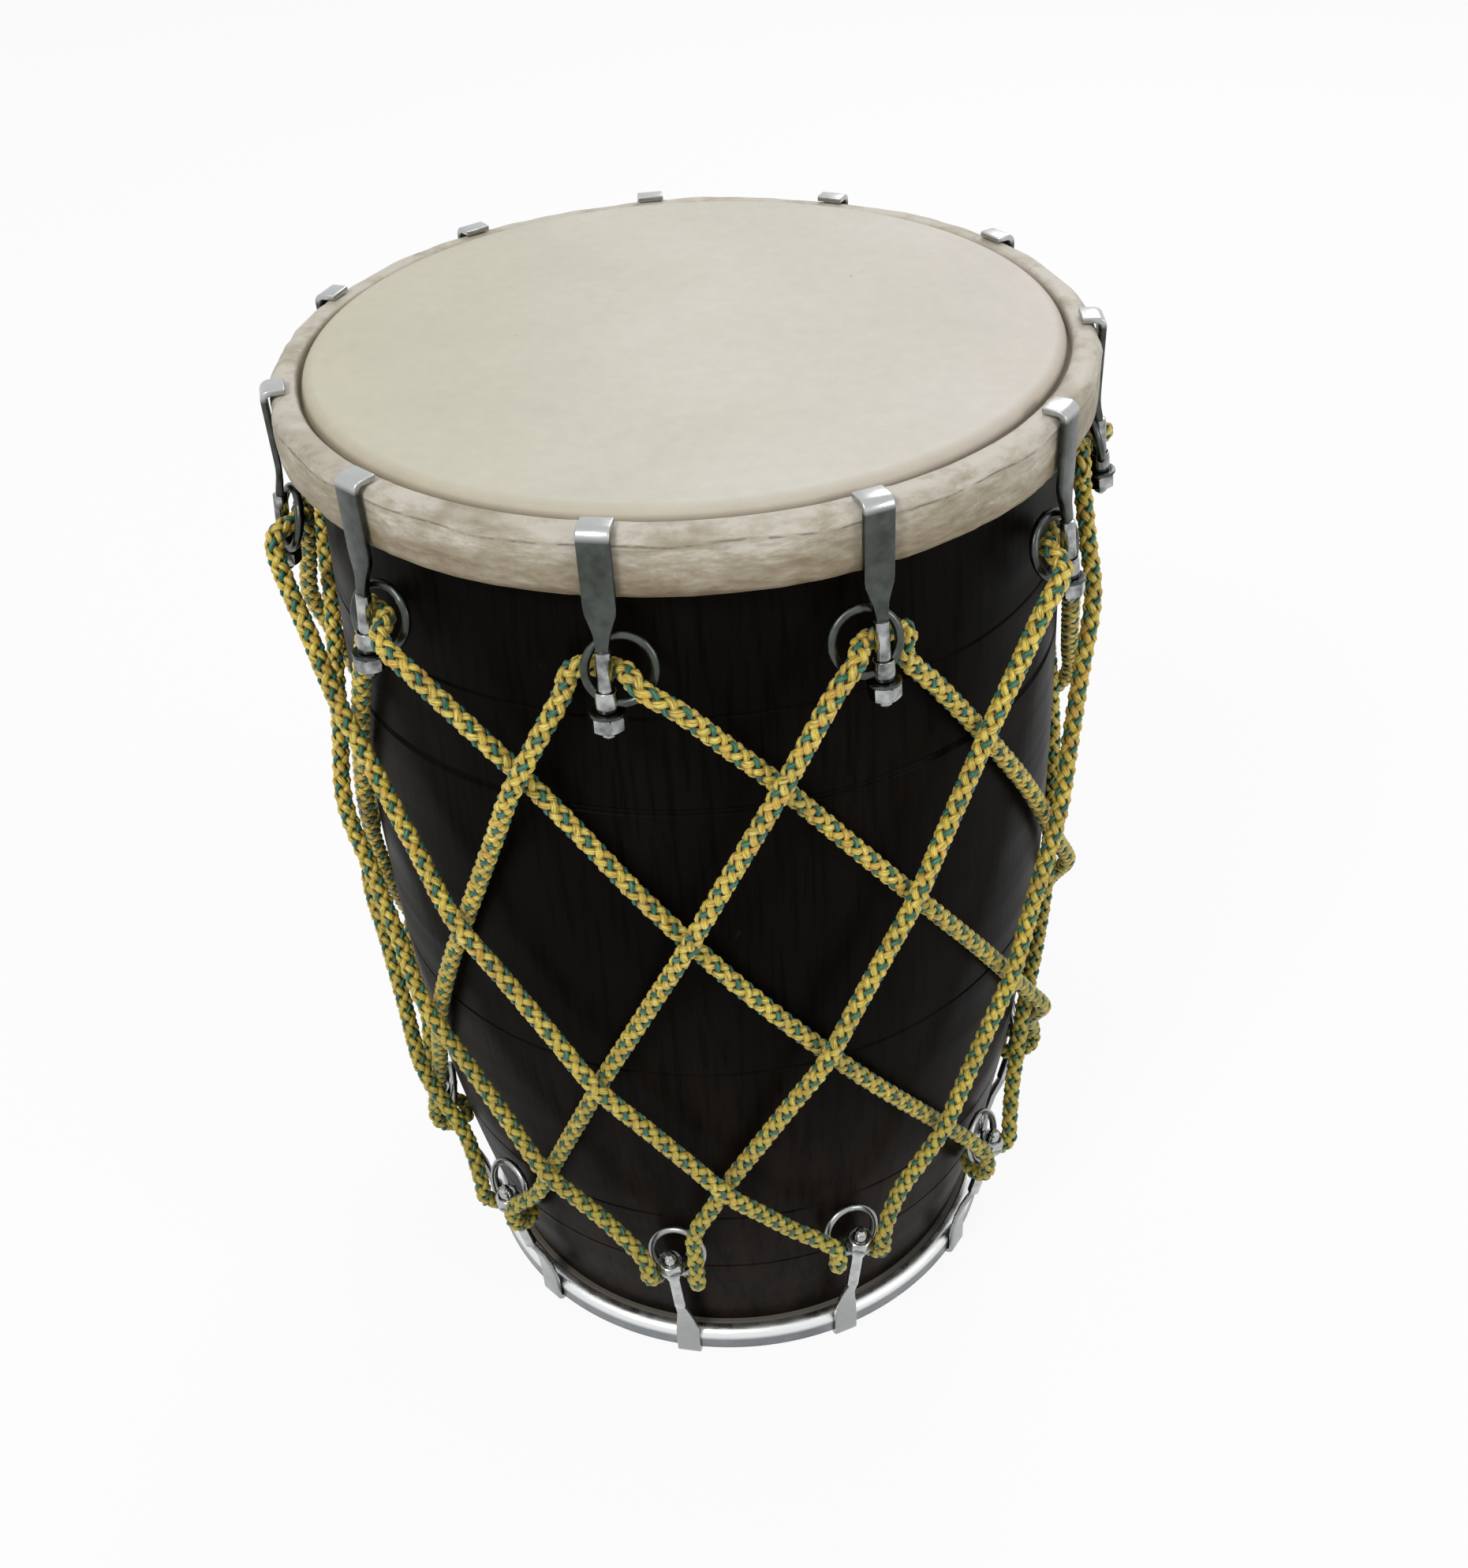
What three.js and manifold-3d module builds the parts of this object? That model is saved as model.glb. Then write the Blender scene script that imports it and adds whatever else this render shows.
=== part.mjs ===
// A dhol: a barrel shell of turned wood with a hide head at each end. Eleven steel hooks a side
// pull the heads home, and one rope laces the rings of the upper hooks to those of the lower ones.
// Millimetres, +Z up, origin on the drum's axis at the surface that it stands on. Angles run
// from -Y towards +X, and hook A, the first, is the one furthest left as seen from -Y.
import * as THREE from 'three';
import * as BufferGeometryUtils from 'three/addons/utils/BufferGeometryUtils.js';
import Module from 'manifold-3d';

const wasm = await Module();
wasm.setup();

// Clearances
const seatGap = 0.3;            // between two pieces that touch
const cutOverrun = 1;           // how far a cutter runs past the piece it cuts

// Shell
const shellFoot = 6.3;          // height of its lower edge
const shellTop = 498.8;         // height of its upper edge
const bellyHeight = 290;
const topRadius = 154;          // outer radius at the upper edge
const bellySwell = 7;           // how far the belly stands out beyond the upper edge
const footDraw = 34;            // how far the lower curve draws in by the floor
const shellWall = 11;
const edgeRound = 3;            // rounding of the two bearing edges
const lowerCurvePower = 2.2;    // how full the lower curve is
const upperCurvePower = 2;
const shellSteps = 10;

// Hide heads
const hideThickness = 1.6;
const playingEdgeRound = 6;
const grooveDepth = 6.5;        // of the tuck between the playing surface and the hoop
const grooveWidth = 1.6;

// Wrapped hoop of the upper head
const hoopWidth = 11.8;
const hoopHeight = 27.5;
const hoopDrop = 2.5;           // how far its top lies below the playing surface
const hoopRound = 4;

// Steel hoop of the lower head
const steelHoopEase = 0.1;      // of its bore, beyond the hide and the gaps
const steelHoopWidth = 8;
const steelHoopHeight = 12;
const rebateWidth = 1.6;        // step in its inner upper corner, under the hide's bead
const rebateDepth = 5;
const steelHoopEdge = 0.8;      // its cut outer corners
const beadHeight = 3.5;

// Hooks
const hookCount = 11;
const firstHookDegrees = -77.8;
const strapWidth = 12;
const strapThickness = 2.6;
const strapCorner = 0.7;        // cut corners of the strap's section
const bendRadius = 3;
const lipLength = 9;
const neckWidth = 4.8;
const neckThickness = 3.6;
const rodDiameter = 6;
const strapShares = [1, 0.68];  // width where the taper starts, and half way along it
const neckLength = 4;           // between the taper and the rod
const rodShoulder = 2;          // over which the neck swells to the rod
const topLugDrop = 63.5;         // middle of the upper rings' lugs, below the wrapped hoop's top
const topLugStandOff = 4.1;     // rod axis there, outside the middle of the strap
const topRodLeanDegrees = 6;
const topNeckAboveLug = 20;
const topRodBelowLug = 15.5;
const bottomLugHeight = 88;
const bottomRodLeanDegrees = 11;
const bottomNeckBelowLug = 36;
const bottomRodAboveLug = 17;

// Rings, lugs and nuts
const ringRadius = 12.5;        // to the middle of the wire
const ringWire = 3.6;
const lugDiameter = 8.4;
const lugHeight = 8;
const washerDiameter = 13;
const washerThickness = 1.4;
const nutAcrossFlats = 11;
const nutHeight = 6;
const topRingLeanDegrees = 12;
const topRingTwistDegrees = 12;
const topRingSwingDegrees = 26;
const bottomRingLeanDegrees = 25;
const bottomRingSwingDegrees = 12;

// Rope
const ropeDiameter = 8.5;
const ropeSlack = 0.5;          // what straight steps of the tube need on the round shell
const topLegLead = 28.3;        // where the legs' straight lines meet the hooks, above the upper lugs
const bottomLegLead = 5;        // and below the lower lugs
const legRiseLength = 87;       // over which a leg leaves the shell for its ring
const ropeGap = 0.8;            // between two legs where they cross, and between the rope's ends
const ropeSides = 6;
const downRightPitches = 3;     // hooks that a leg passes on its way down to the right
const downLeftPitches = 2;

// Where each hook sits, as shares of the even pitch, in the order A to K
const topShiftShares = [-0.03, -0.04, 0.015, 0.03, 0.06, -0.01, 0.05, 0.05, 0, -0.05, -0.08];
const bottomShiftShares = [0, -0.06, -0.02, 0, 0.02, 0, 0.03, -0.02, 0, 0.02, 0];
// Which leg passes in front of its upper ring, and so which way the ring hangs: 1 is the right
const topFronts = [1, 1, 1, -1, -1, 1, -1, 1, 1, -1, 1];
const bottomSwings = [1, -1, 1, -1, -1, 1, -1, 1, -1, 1, 1];
// How far each leg was laid aside of its hooks, above and below, as shares of the pitch
const leftLegShares = [[0, 0], [0, 0], [-0.03, 0.02], [-0.05, 0.1], [-0.09, -0.06], [0.03, 0.02], [0, 0],
  [0, 0], [0.03, 0], [0, 0.03], [0, 0]];
const rightLegShares = [[-0.05, -0.08], [0.05, 0.03], [0.02, 0.06], [-0.1, -0.08], [0, 0], [0, 0],
  [0.02, 0], [0, 0], [-0.02, 0], [0, 0], [0, -0.02]];

const degrees = Math.PI / 180;
const pitch = 2 * Math.PI / hookCount;
const roundSegments = 40;
const bellyRadius = topRadius + bellySwell;
const footRadius = bellyRadius - footDraw;
const ropeRadius = ropeDiameter / 2;
const rodRadius = rodDiameter / 2;
const playingHeight = shellTop + seatGap + hideThickness;
const hoopTop = playingHeight - hoopDrop;
const hoopInner = topRadius + seatGap + hideThickness + grooveWidth;
const hoopOuter = hoopInner + hoopWidth;
const steelHoopFoot = strapThickness + seatGap;
const steelHoopInner = shellRadius(steelHoopFoot + steelHoopHeight) + hideThickness + 2 * seatGap
  + steelHoopEase;
const steelHoopOuter = steelHoopInner + steelHoopWidth;
const topStrapRadius = hoopOuter + seatGap + strapThickness / 2;
const bottomStrapRadius = steelHoopOuter + seatGap + strapThickness / 2;
const topLugHeight = hoopTop - topLugDrop;
const topLugRadius = topStrapRadius + topLugStandOff;
const topLegStart = topLugHeight + topLegLead;
const bottomLegEnd = bottomLugHeight - bottomLegLead;
const topLegTangent = topLugHeight - legRiseLength;
const bottomLegTangent = bottomLugHeight + legRiseLength;
const topLean = topRodLeanDegrees * degrees;
const bottomLean = bottomRodLeanDegrees * degrees;

function mod(k) {
  return ((k % hookCount) + hookCount) % hookCount;
}

function shellRadius(z) {
  const below = z < bellyHeight;
  const end = below ? footRadius : topRadius;
  const span = below ? bellyHeight : shellTop - bellyHeight;
  const power = below ? lowerCurvePower : upperCurvePower;
  return bellyRadius - (bellyRadius - end) * Math.pow(Math.abs(z - bellyHeight) / span, power);
}

// A lower rod stands off the shell by the rope that passes behind it, and their gaps.
const bottomLugRadius = shellRadius(bottomLugHeight) + seatGap + ropeDiameter + seatGap + ropeSlack
  + rodRadius;

// Angle of hook k, where k may run past the last hook and round again.
function hookAngle(k, shiftShares) {
  return firstHookDegrees * degrees + (k + shiftShares[mod(k)]) * pitch;
}

// A point at a place across, a radius and a height, for a piece modelled at angle 0.
function frontPoint(across, radius, height) {
  return new THREE.Vector3(across, -radius, height);
}

function roundPoint(angle, radius, height) {
  return new THREE.Vector3(radius * Math.sin(angle), -radius * Math.cos(angle), height);
}

function merged(geometry) {
  const bare = geometry.clone();
  for (const name of ['normal', 'uv']) {
    bare.deleteAttribute(name);
  }
  return BufferGeometryUtils.mergeVertices(bare);
}

function solid(geometry) {
  const closed = merged(geometry);
  return new wasm.Manifold(new wasm.Mesh({
    numProp: 3,
    vertProperties: new Float32Array(closed.attributes.position.array),
    triVerts: new Uint32Array(closed.index.array),
  }));
}

function geometryOf(manifold) {
  const mesh = manifold.getMesh();
  const geometry = new THREE.BufferGeometry();
  geometry.setAttribute('position', new THREE.BufferAttribute(mesh.vertProperties, 3));
  geometry.setIndex(new THREE.BufferAttribute(mesh.triVerts, 1));
  return geometry;
}

// A cylinder along Z whose flats, not its corners, reach the radius: for bores.
function boreCylinder(radius, low, high, sides) {
  const bore = upright(radius / Math.cos(Math.PI / sides), low, high, sides);
  return bore;
}

function upright(radius, low, high, sides) {
  const cylinder = new THREE.CylinderGeometry(radius, radius, high - low, sides);
  cylinder.rotateX(Math.PI / 2);
  cylinder.translate(0, 0, (low + high) / 2);
  return cylinder;
}

// A solid of revolution from [radius, height] pairs, which close on themselves or end on the axis.
function turned(outline) {
  const contour = outline.map(([radius, height]) => new THREE.Vector2(radius, height));
  if (THREE.ShapeUtils.area(contour) < 0) {
    contour.reverse();
  }
  const geometry = new THREE.LatheGeometry(contour, roundSegments);
  geometry.rotateX(Math.PI / 2);
  return geometry;
}

function shellGeometry() {
  const outline = [];
  const low = shellFoot + edgeRound;
  const high = shellTop - edgeRound;
  outline.push([shellRadius(shellFoot) - edgeRound, shellFoot]);
  for (let i = 0; i <= shellSteps; i += 1) {
    const z = low + (high - low) * i / shellSteps;
    outline.push([shellRadius(z), z]);
  }
  outline.push([topRadius - edgeRound, shellTop]);
  for (let i = 0; i <= shellSteps / 2; i += 1) {
    const z = shellTop - edgeRound - (high - low) * i / (shellSteps / 2);
    outline.push([shellRadius(z) - shellWall, z]);
  }
  outline.push(outline[0]);
  return turned(outline);
}

// Hide and hoop of the upper head: the hide is stretched over the shell's edge, runs down between
// shell and hoop, wraps the hoop from below and ends tucked into the groove inside the hoop.
function topHeadGeometry() {
  const inside = topRadius + seatGap;
  const hoopFoot = hoopTop - hoopHeight;
  const insideAt = (z) => shellRadius(z) + seatGap;
  const outline = [
    [0, playingHeight],
    [inside + hideThickness - playingEdgeRound, playingHeight],
    [inside + hideThickness - playingEdgeRound / 3, playingHeight - playingEdgeRound / 4],
    [inside + hideThickness, playingHeight - playingEdgeRound],
    [hoopInner - grooveWidth / 2, playingHeight - playingEdgeRound - grooveDepth / 4],
    [hoopInner, hoopTop - hoopRound],
    [hoopInner + hoopRound / 2, hoopTop - hoopRound / 8],
    [hoopOuter - hoopRound, hoopTop],
    [hoopOuter - hoopRound / 4, hoopTop - hoopRound / 2],
    [hoopOuter, hoopTop - 2 * hoopRound],
    [hoopOuter, hoopFoot + 2 * hoopRound],
    [hoopOuter - hoopRound / 2, hoopFoot + hoopRound / 2],
    [hoopOuter - 1.5 * hoopRound, hoopFoot],
    [insideAt(hoopFoot) + hideThickness, hoopFoot],
    [insideAt(hoopFoot + hideThickness), hoopFoot + hideThickness],
    [insideAt(shellTop - edgeRound), shellTop - edgeRound],
    [inside - edgeRound / 2, shellTop - edgeRound / 4],
    [inside - edgeRound, shellTop + seatGap],
    [0, shellTop + seatGap],
  ];
  return turned(outline);
}

// Lower head: the hide turns up round the shell's foot and ends in a bead on the hoop's step.
function bottomHeadGeometry() {
  const step = steelHoopFoot + steelHoopHeight - rebateDepth + seatGap;
  const insideAt = (z) => shellRadius(z) + seatGap;
  const under = shellFoot - seatGap - hideThickness;
  const bead = steelHoopInner + rebateWidth - seatGap;
  const wallOuter = steelHoopInner - seatGap;
  return turned([
    [0, under],
    [insideAt(shellFoot) + hideThickness - edgeRound, under],
    [insideAt(shellFoot) + hideThickness, under + edgeRound],
    [wallOuter, step],
    [bead, step],
    [bead, step + beadHeight],
    [insideAt(step + beadHeight), step + beadHeight],
    [insideAt(step), step],
    [insideAt(shellFoot + edgeRound), shellFoot + edgeRound],
    [insideAt(shellFoot) - edgeRound, shellFoot - seatGap],
    [0, shellFoot - seatGap],
  ]);
}

function steelHoopGeometry() {
  const high = steelHoopFoot + steelHoopHeight;
  const rebate = steelHoopInner + rebateWidth;
  return turned([
    [steelHoopInner, steelHoopFoot],
    [steelHoopOuter - steelHoopEdge, steelHoopFoot],
    [steelHoopOuter, steelHoopFoot + steelHoopEdge],
    [steelHoopOuter, high - steelHoopEdge],
    [steelHoopOuter - steelHoopEdge, high],
    [rebate, high],
    [rebate, high - rebateDepth],
    [steelHoopInner, high - rebateDepth],
    [steelHoopInner, steelHoopFoot],
  ]);
}

// One station of a hook: its middle, the way the hook runs there and its section. The section has
// eight corners, so that a strap with cut corners can turn into a round rod.
function station(radius, height, headingDegrees, width, thickness, corner) {
  const heading = headingDegrees * degrees;
  const along = [Math.cos(heading), Math.sin(heading)];
  const across = [-along[1], along[0]];
  const halfWidth = width / 2;
  const half = thickness / 2;
  const corners = [
    [halfWidth, corner - half], [halfWidth, half - corner],
    [halfWidth - corner, half], [corner - halfWidth, half],
    [-halfWidth, half - corner], [-halfWidth, corner - half],
    [corner - halfWidth, -half], [halfWidth - corner, -half],
  ];
  return corners.map(([x, n]) => frontPoint(x, radius + n * across[0], height + n * across[1]));
}

function rodStation(radius, height, headingDegrees) {
  const flat = rodDiameter * Math.cos(Math.PI / 8);
  const corner = flat / (2 + Math.SQRT2);
  return station(radius, height, headingDegrees, flat, flat, corner);
}

function loft(stations) {
  const sides = stations[0].length;
  const positions = stations.flat().flatMap((point) => point.toArray());
  const index = [];
  for (let s = 0; s + 1 < stations.length; s += 1) {
    for (let k = 0; k < sides; k += 1) {
      const next = (k + 1) % sides;
      const [a, b] = [s * sides + k, s * sides + next];
      index.push(a, b, b + sides, a, b + sides, a + sides);
    }
  }
  const last = (stations.length - 1) * sides;
  for (let k = 1; k + 1 < sides; k += 1) {
    index.push(0, k + 1, k);
    index.push(last, last + k, last + k + 1);
  }
  const geometry = new THREE.BufferGeometry();
  geometry.setAttribute('position', new THREE.Float32BufferAttribute(positions, 3));
  geometry.setIndex(index);
  return geometry;
}

// Radius of a rod's axis at a height.
function topRodAxis(z) {
  return topLugRadius + (topLugHeight - z) * Math.tan(topLean);
}

function bottomRodAxis(z) {
  return bottomLugRadius + (z - bottomLugHeight) * Math.tan(bottomLean);
}

function topHookGeometry() {
  const lip = hoopTop + seatGap + strapThickness / 2;
  const neck = topLugHeight + topNeckAboveLug;
  const strapFoot = hoopTop - hoopHeight;
  const taper = (strapFoot + neck + neckLength) / 2;
  const r = topStrapRadius;
  const down = -90 + topRodLeanDegrees;
  const flat = [strapWidth, strapThickness, strapCorner];
  const tip = topLugHeight - topRodBelowLug;
  return loft([
    station(r - lipLength, lip, 0, ...flat),
    station(r - bendRadius, lip, 0, ...flat),
    station(r - bendRadius * 0.3, lip - bendRadius * 0.3, -45, ...flat),
    station(r, lip - bendRadius, -90, ...flat),
    station(r, strapFoot, -90, strapWidth * strapShares[0], strapThickness, strapCorner),
    station((r + topRodAxis(neck)) / 2, taper, down, strapWidth * strapShares[1], strapThickness,
      strapCorner),
    station(topRodAxis(neck + neckLength), neck + neckLength, down, neckWidth, neckThickness,
      strapCorner),
    station(topRodAxis(neck), neck, down, neckWidth, neckThickness, strapCorner),
    rodStation(topRodAxis(neck - rodShoulder), neck - rodShoulder, down),
    rodStation(topRodAxis(tip), tip, down),
  ]);
}

function bottomHookGeometry() {
  const lip = strapThickness / 2;
  const neck = bottomLugHeight - bottomNeckBelowLug;
  const strapTop = steelHoopFoot + steelHoopHeight;
  const taper = (strapTop + neck - neckLength) / 2;
  const r = bottomStrapRadius;
  const up = 90 - bottomRodLeanDegrees;
  const flat = [strapWidth, strapThickness, strapCorner];
  const tip = bottomLugHeight + bottomRodAboveLug;
  return loft([
    station(r - lipLength, lip, 0, ...flat),
    station(r - bendRadius, lip, 0, ...flat),
    station(r - bendRadius * 0.3, lip + bendRadius * 0.3, 45, ...flat),
    station(r, lip + bendRadius, 90, ...flat),
    station(r, strapTop, 90, strapWidth * strapShares[0], strapThickness, strapCorner),
    station((r + bottomRodAxis(neck)) / 2, taper, up, strapWidth * strapShares[1], strapThickness,
      strapCorner),
    station(bottomRodAxis(neck - neckLength), neck - neckLength, up, neckWidth, neckThickness,
      strapCorner),
    station(bottomRodAxis(neck), neck, up, neckWidth, neckThickness, strapCorner),
    rodStation(bottomRodAxis(neck + rodShoulder), neck + rodShoulder, up),
    rodStation(bottomRodAxis(tip), tip, up),
  ]);
}

// A wire ring whose lug rides on a rod along Z through the origin. The ring rises from the lug,
// swung to one side in its plane and then leaned back towards the shell.
function ringSolid(swingDegrees, leanDegrees) {
  const wire = new THREE.TorusGeometry(ringRadius, ringWire / 2, 5, 12);
  wire.rotateX(Math.PI / 2);
  wire.translate(0, 0, ringRadius);
  wire.rotateY(swingDegrees * degrees);
  wire.rotateX(-leanDegrees * degrees);
  const lug = upright(lugDiameter / 2, -lugHeight / 2, lugHeight / 2, 8);
  return solid(wire).add(solid(lug));
}

function rodBore(low, high) {
  return solid(boreCylinder(rodRadius + seatGap, low - cutOverrun, high + cutOverrun, 8));
}

// A hexagon nut with its washer, from a height upwards; the washer is on the lower side.
function nutSolid(low) {
  const face = low + washerThickness;
  const washer = upright(washerDiameter / 2, low, face, 10);
  const cornerRadius = nutAcrossFlats / 2 / Math.cos(Math.PI / 6);
  const nut = upright(cornerRadius, face, face + nutHeight, 6);
  return solid(washer).add(solid(nut));
}

function topRingGeometry(front) {
  const ring = ringSolid(front * topRingSwingDegrees, topRingLeanDegrees);
  const geometry = geometryOf(ring.subtract(rodBore(-ringWire, ringRadius)));
  geometry.rotateZ(front * topRingTwistDegrees * degrees);
  return geometry;
}

function topNutGeometry() {
  const nut = nutSolid(lugHeight / 2 + seatGap);
  const high = lugHeight / 2 + seatGap + washerThickness + nutHeight;
  const geometry = geometryOf(nut.subtract(rodBore(lugHeight / 2, high)));
  geometry.rotateX(Math.PI);
  return geometry;
}

// A lower ring is held by a nut that has seized to its lug, so the two are one solid.
function bottomRingGeometry(swing) {
  const ring = ringSolid(swing * bottomRingSwingDegrees, bottomRingLeanDegrees);
  const held = ring.add(nutSolid(lugHeight / 2));
  return geometryOf(held.subtract(rodBore(-lugHeight / 2, lugHeight + nutHeight)));
}

// The rope's route. A leg runs from upper ring i straight to a lower ring, as a line of constant
// slope in angle and height. t is 0 where that line meets the upper hook and 1 at the lower one.
function makeLeg(k, pitches, layer) {
  const [above, below] = (pitches < 0 ? leftLegShares : rightLegShares)[mod(k)];
  const start = hookAngle(k, topShiftShares) + above * pitch;
  const end = hookAngle(k + pitches, bottomShiftShares) + below * pitch;
  return { k, pitches, layer, start, end, crossings: [] };
}

function legHeight(t) {
  return topLegStart + (bottomLegEnd - topLegStart) * t;
}

function legAngle(leg, t) {
  return leg.start + (leg.end - leg.start) * t;
}

// Where the rope passes a ring, left to right: place across the rod, height over the lug, and
// place in front of the rod's axis, as shares of the rope's diameter. Behind is negative. At an
// upper ring the third number is for the leg in front of the ring and the fourth for the other.
const behindRodShare = -(rodRadius + seatGap + ropeRadius) / ropeDiameter;
const frontShare = 0.6;
const backShare = -1;
const topPassShares = [[-1.95, 0.5, frontShare, backShare], [-1.42, 0.85, 0.45, backShare],
  [-0.95, 1.02, -0.25, backShare], [-0.5, 1.02, -0.8, -0.92], [0, 0.98, behindRodShare, behindRodShare],
  [0.5, 1.02, -0.8, -0.92], [0.95, 1.08, -0.25, backShare], [1.38, 0.98, 0.4, backShare],
  [1.85, 0.7, frontShare, backShare]];
const bottomSideShare = 0.5;
const bottomSideUpShare = 1.45;
const bottomSwingShare = 0.2;
const bottomPassShares = [[-1.45, bottomSideUpShare, bottomSideShare], [-1.4, 0.15, 0.76],
  [-1.18, -0.66, 0.18], [-0.62, -1.06, -0.84], [0, -1.12, behindRodShare], [0.62, -1.06, -0.84],
  [1.18, -0.66, 0.18], [1.4, 0.15, 0.76], [1.42, bottomSideUpShare, bottomSideShare]];

const lie = ropeRadius + seatGap + ropeSlack;

// How far a leg's middle stands off the shell before it rises over any other leg.
function standOff(leg, z) {
  const side = Math.sign(leg.pitches);
  const forward = side === topFronts[mod(leg.k)] ? frontShare : backShare;
  const topRise = topLugRadius + forward * ropeDiameter - shellRadius(topLugHeight) - lie;
  const passHeight = bottomLugHeight + bottomSideUpShare * ropeDiameter;
  const bottomRise = bottomRodAxis(passHeight) + bottomSideShare * ropeDiameter
    - shellRadius(passHeight) - lie;
  const up = Math.max(0, (z - topLegTangent) / (topLugHeight - topLegTangent));
  const down = Math.max(0, (bottomLegTangent - z) / (bottomLegTangent - passHeight));
  return lie + topRise * up * up + bottomRise * down * down;
}

function makeLegs() {
  const legs = [];
  const firstRing = 6 + 5 * hookCount;
  const stride = downRightPitches + downLeftPitches;
  for (let n = 0; n < hookCount; n += 1) {
    const k = firstRing - n * stride;
    legs.push(makeLeg(k, -downLeftPitches, 2 * n));
    legs.push(makeLeg(k - stride, downRightPitches, 2 * n + 1));
  }
  return legs;
}

// Notes on both legs where they cross: the one laid later goes over the other.
function addCrossings(legs) {
  const right = legs.filter((leg) => leg.pitches > 0);
  const left = legs.filter((leg) => leg.pitches < 0);
  for (const a of right) {
    for (const b of left) {
      const apart = mod(b.k - a.k);
      if (apart > 0 && apart < downRightPitches + downLeftPitches) {
        const gap = (b.start - a.start) - Math.round(((b.k - a.k) - apart) / hookCount) * 2 * Math.PI;
        const t = gap / ((a.end - a.start) - (b.end - b.start));
        a.crossings.push({ t, other: b });
        b.crossings.push({ t, other: a });
      }
    }
  }
}

// The ends of a leg's straight line, as shares of it, and the steps of the tube between crossings.
const legEndShares = [0.078, 0.9];
const stepsPerCrossing = 3;

// A leg is straight from crossing to crossing, but nowhere nearer to the shell than it can lie.
function legPoints(leg) {
  const [first, last] = legEndShares;
  const stops = [{ t: first }, ...leg.crossings.sort((a, b) => a.t - b.t), { t: last }];
  const corners = stops.map(({ t, other }) => {
    const z = legHeight(t);
    let height = standOff(leg, z);
    if (other && leg.layer > other.layer) {
      height = Math.max(height, standOff(other, z) + ropeDiameter + ropeGap);
    }
    return roundPoint(legAngle(leg, t), shellRadius(z) + height, z);
  });
  const points = [corners[0]];
  for (let i = 0; i + 1 < corners.length; i += 1) {
    const atEnd = i === 0 || i + 2 === corners.length;
    const count = atEnd ? stepsPerCrossing - 1 : stepsPerCrossing;
    for (let step = 1; step <= count; step += 1) {
      const point = corners[i].clone().lerp(corners[i + 1], step / count);
      const radius = Math.hypot(point.x, point.y);
      const outwards = Math.max(1, (shellRadius(point.z) + lie) / radius);
      points.push(new THREE.Vector3(point.x * outwards, point.y * outwards, point.z));
    }
  }
  return points;
}

function passPoint(angle, axis, lugZ, across, up, forward) {
  const z = lugZ + up * ropeDiameter;
  const radius = axis(z) + forward * ropeDiameter;
  return roundPoint(angle + across * ropeDiameter / radius, radius, z);
}

function topPass(k) {
  const angle = hookAngle(k, topShiftShares);
  const front = topFronts[mod(k)];
  return topPassShares.map(([across, up, inFront, behind]) => {
    const forward = Math.sign(across) === front ? inFront : behind;
    return passPoint(angle, topRodAxis, topLugHeight, across, up, forward);
  });
}

function bottomPass(k) {
  const angle = hookAngle(k, bottomShiftShares);
  return bottomPassShares.map(([across, up, forward]) => {
    const aside = Math.abs(across) > 1 ? bottomSwings[mod(k)] * bottomSwingShare : 0;
    return passPoint(angle, bottomRodAxis, bottomLugHeight, across + aside, up, forward);
  });
}

// One rope goes all the way round and its two ends meet behind a rod at the back.
function ropePoints() {
  const legs = makeLegs();
  addCrossings(legs);
  const points = [];
  for (const leg of legs) {
    const down = leg.pitches < 0;
    const run = legPoints(leg);
    if (down) {
      points.push(...topPass(leg.k).reverse(), ...run);
    } else {
      points.push(...bottomPass(leg.k + leg.pitches).reverse(), ...run.reverse());
    }
  }
  const firstPass = topPass(legs[0].k).reverse();
  const middle = (firstPass.length - 1) / 2;
  points.splice(0, middle);
  points.push(...firstPass.slice(0, middle));
  const start = points[0];
  const last = points[points.length - 1];
  const end = start.clone().lerp(last, ropeGap / start.distanceTo(last));
  points.push(end);
  return points;
}

// The least clear distance between two stretches of the rope that aren't neighbours.
function leastGap(curve, length) {
  const spacing = ropeRadius;
  const samples = curve.getSpacedPoints(Math.round(length / spacing));
  const apart = Math.round(3 * ropeDiameter / spacing);
  let least = Infinity;
  for (let i = 0; i < samples.length; i += 1) {
    for (let j = i + apart; j < samples.length; j += 1) {
      if (i + samples.length - j > apart) {
        least = Math.min(least, samples[i].distanceTo(samples[j]));
      }
    }
  }
  return least - ropeDiameter;
}

function ropeGeometry() {
  const points = ropePoints();
  const curve = new THREE.CatmullRomCurve3(points);
  const length = curve.getLength();
  console.log(`rope ${length.toFixed(0)} mm long, least gap to itself ${
    leastGap(curve, length).toFixed(2)} mm`);
  curve.getUtoTmapping = (u) => u;
  const section = new THREE.Shape();
  for (let k = 0; k < ropeSides; k += 1) {
    const angle = 2 * Math.PI * k / ropeSides;
    const [x, y] = [ropeRadius * Math.cos(angle), ropeRadius * Math.sin(angle)];
    if (k === 0) {
      section.moveTo(x, y);
    } else {
      section.lineTo(x, y);
    }
  }
  return new THREE.ExtrudeGeometry(section, { steps: points.length - 1, extrudePath: curve });
}

const finishes = {
  lacquer: { color: 0x17110f, roughness: 0.3, metalness: 0 },
  hide: { color: 0xd2cbb9, roughness: 0.65, metalness: 0 },
  plate: { color: 0xb9bcbe, roughness: 0.3, metalness: 1 },
  rope: { color: 0xb79a2e, roughness: 0.8, metalness: 0 },
};

function addPiece(group, name, geometry, finish) {
  const mesh = new THREE.Mesh(geometry, new THREE.MeshStandardMaterial(finishes[finish]));
  mesh.name = name;
  group.add(mesh);
  return mesh;
}

function hookLetter(k) {
  return String.fromCharCode('a'.charCodeAt(0) + k);
}

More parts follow.
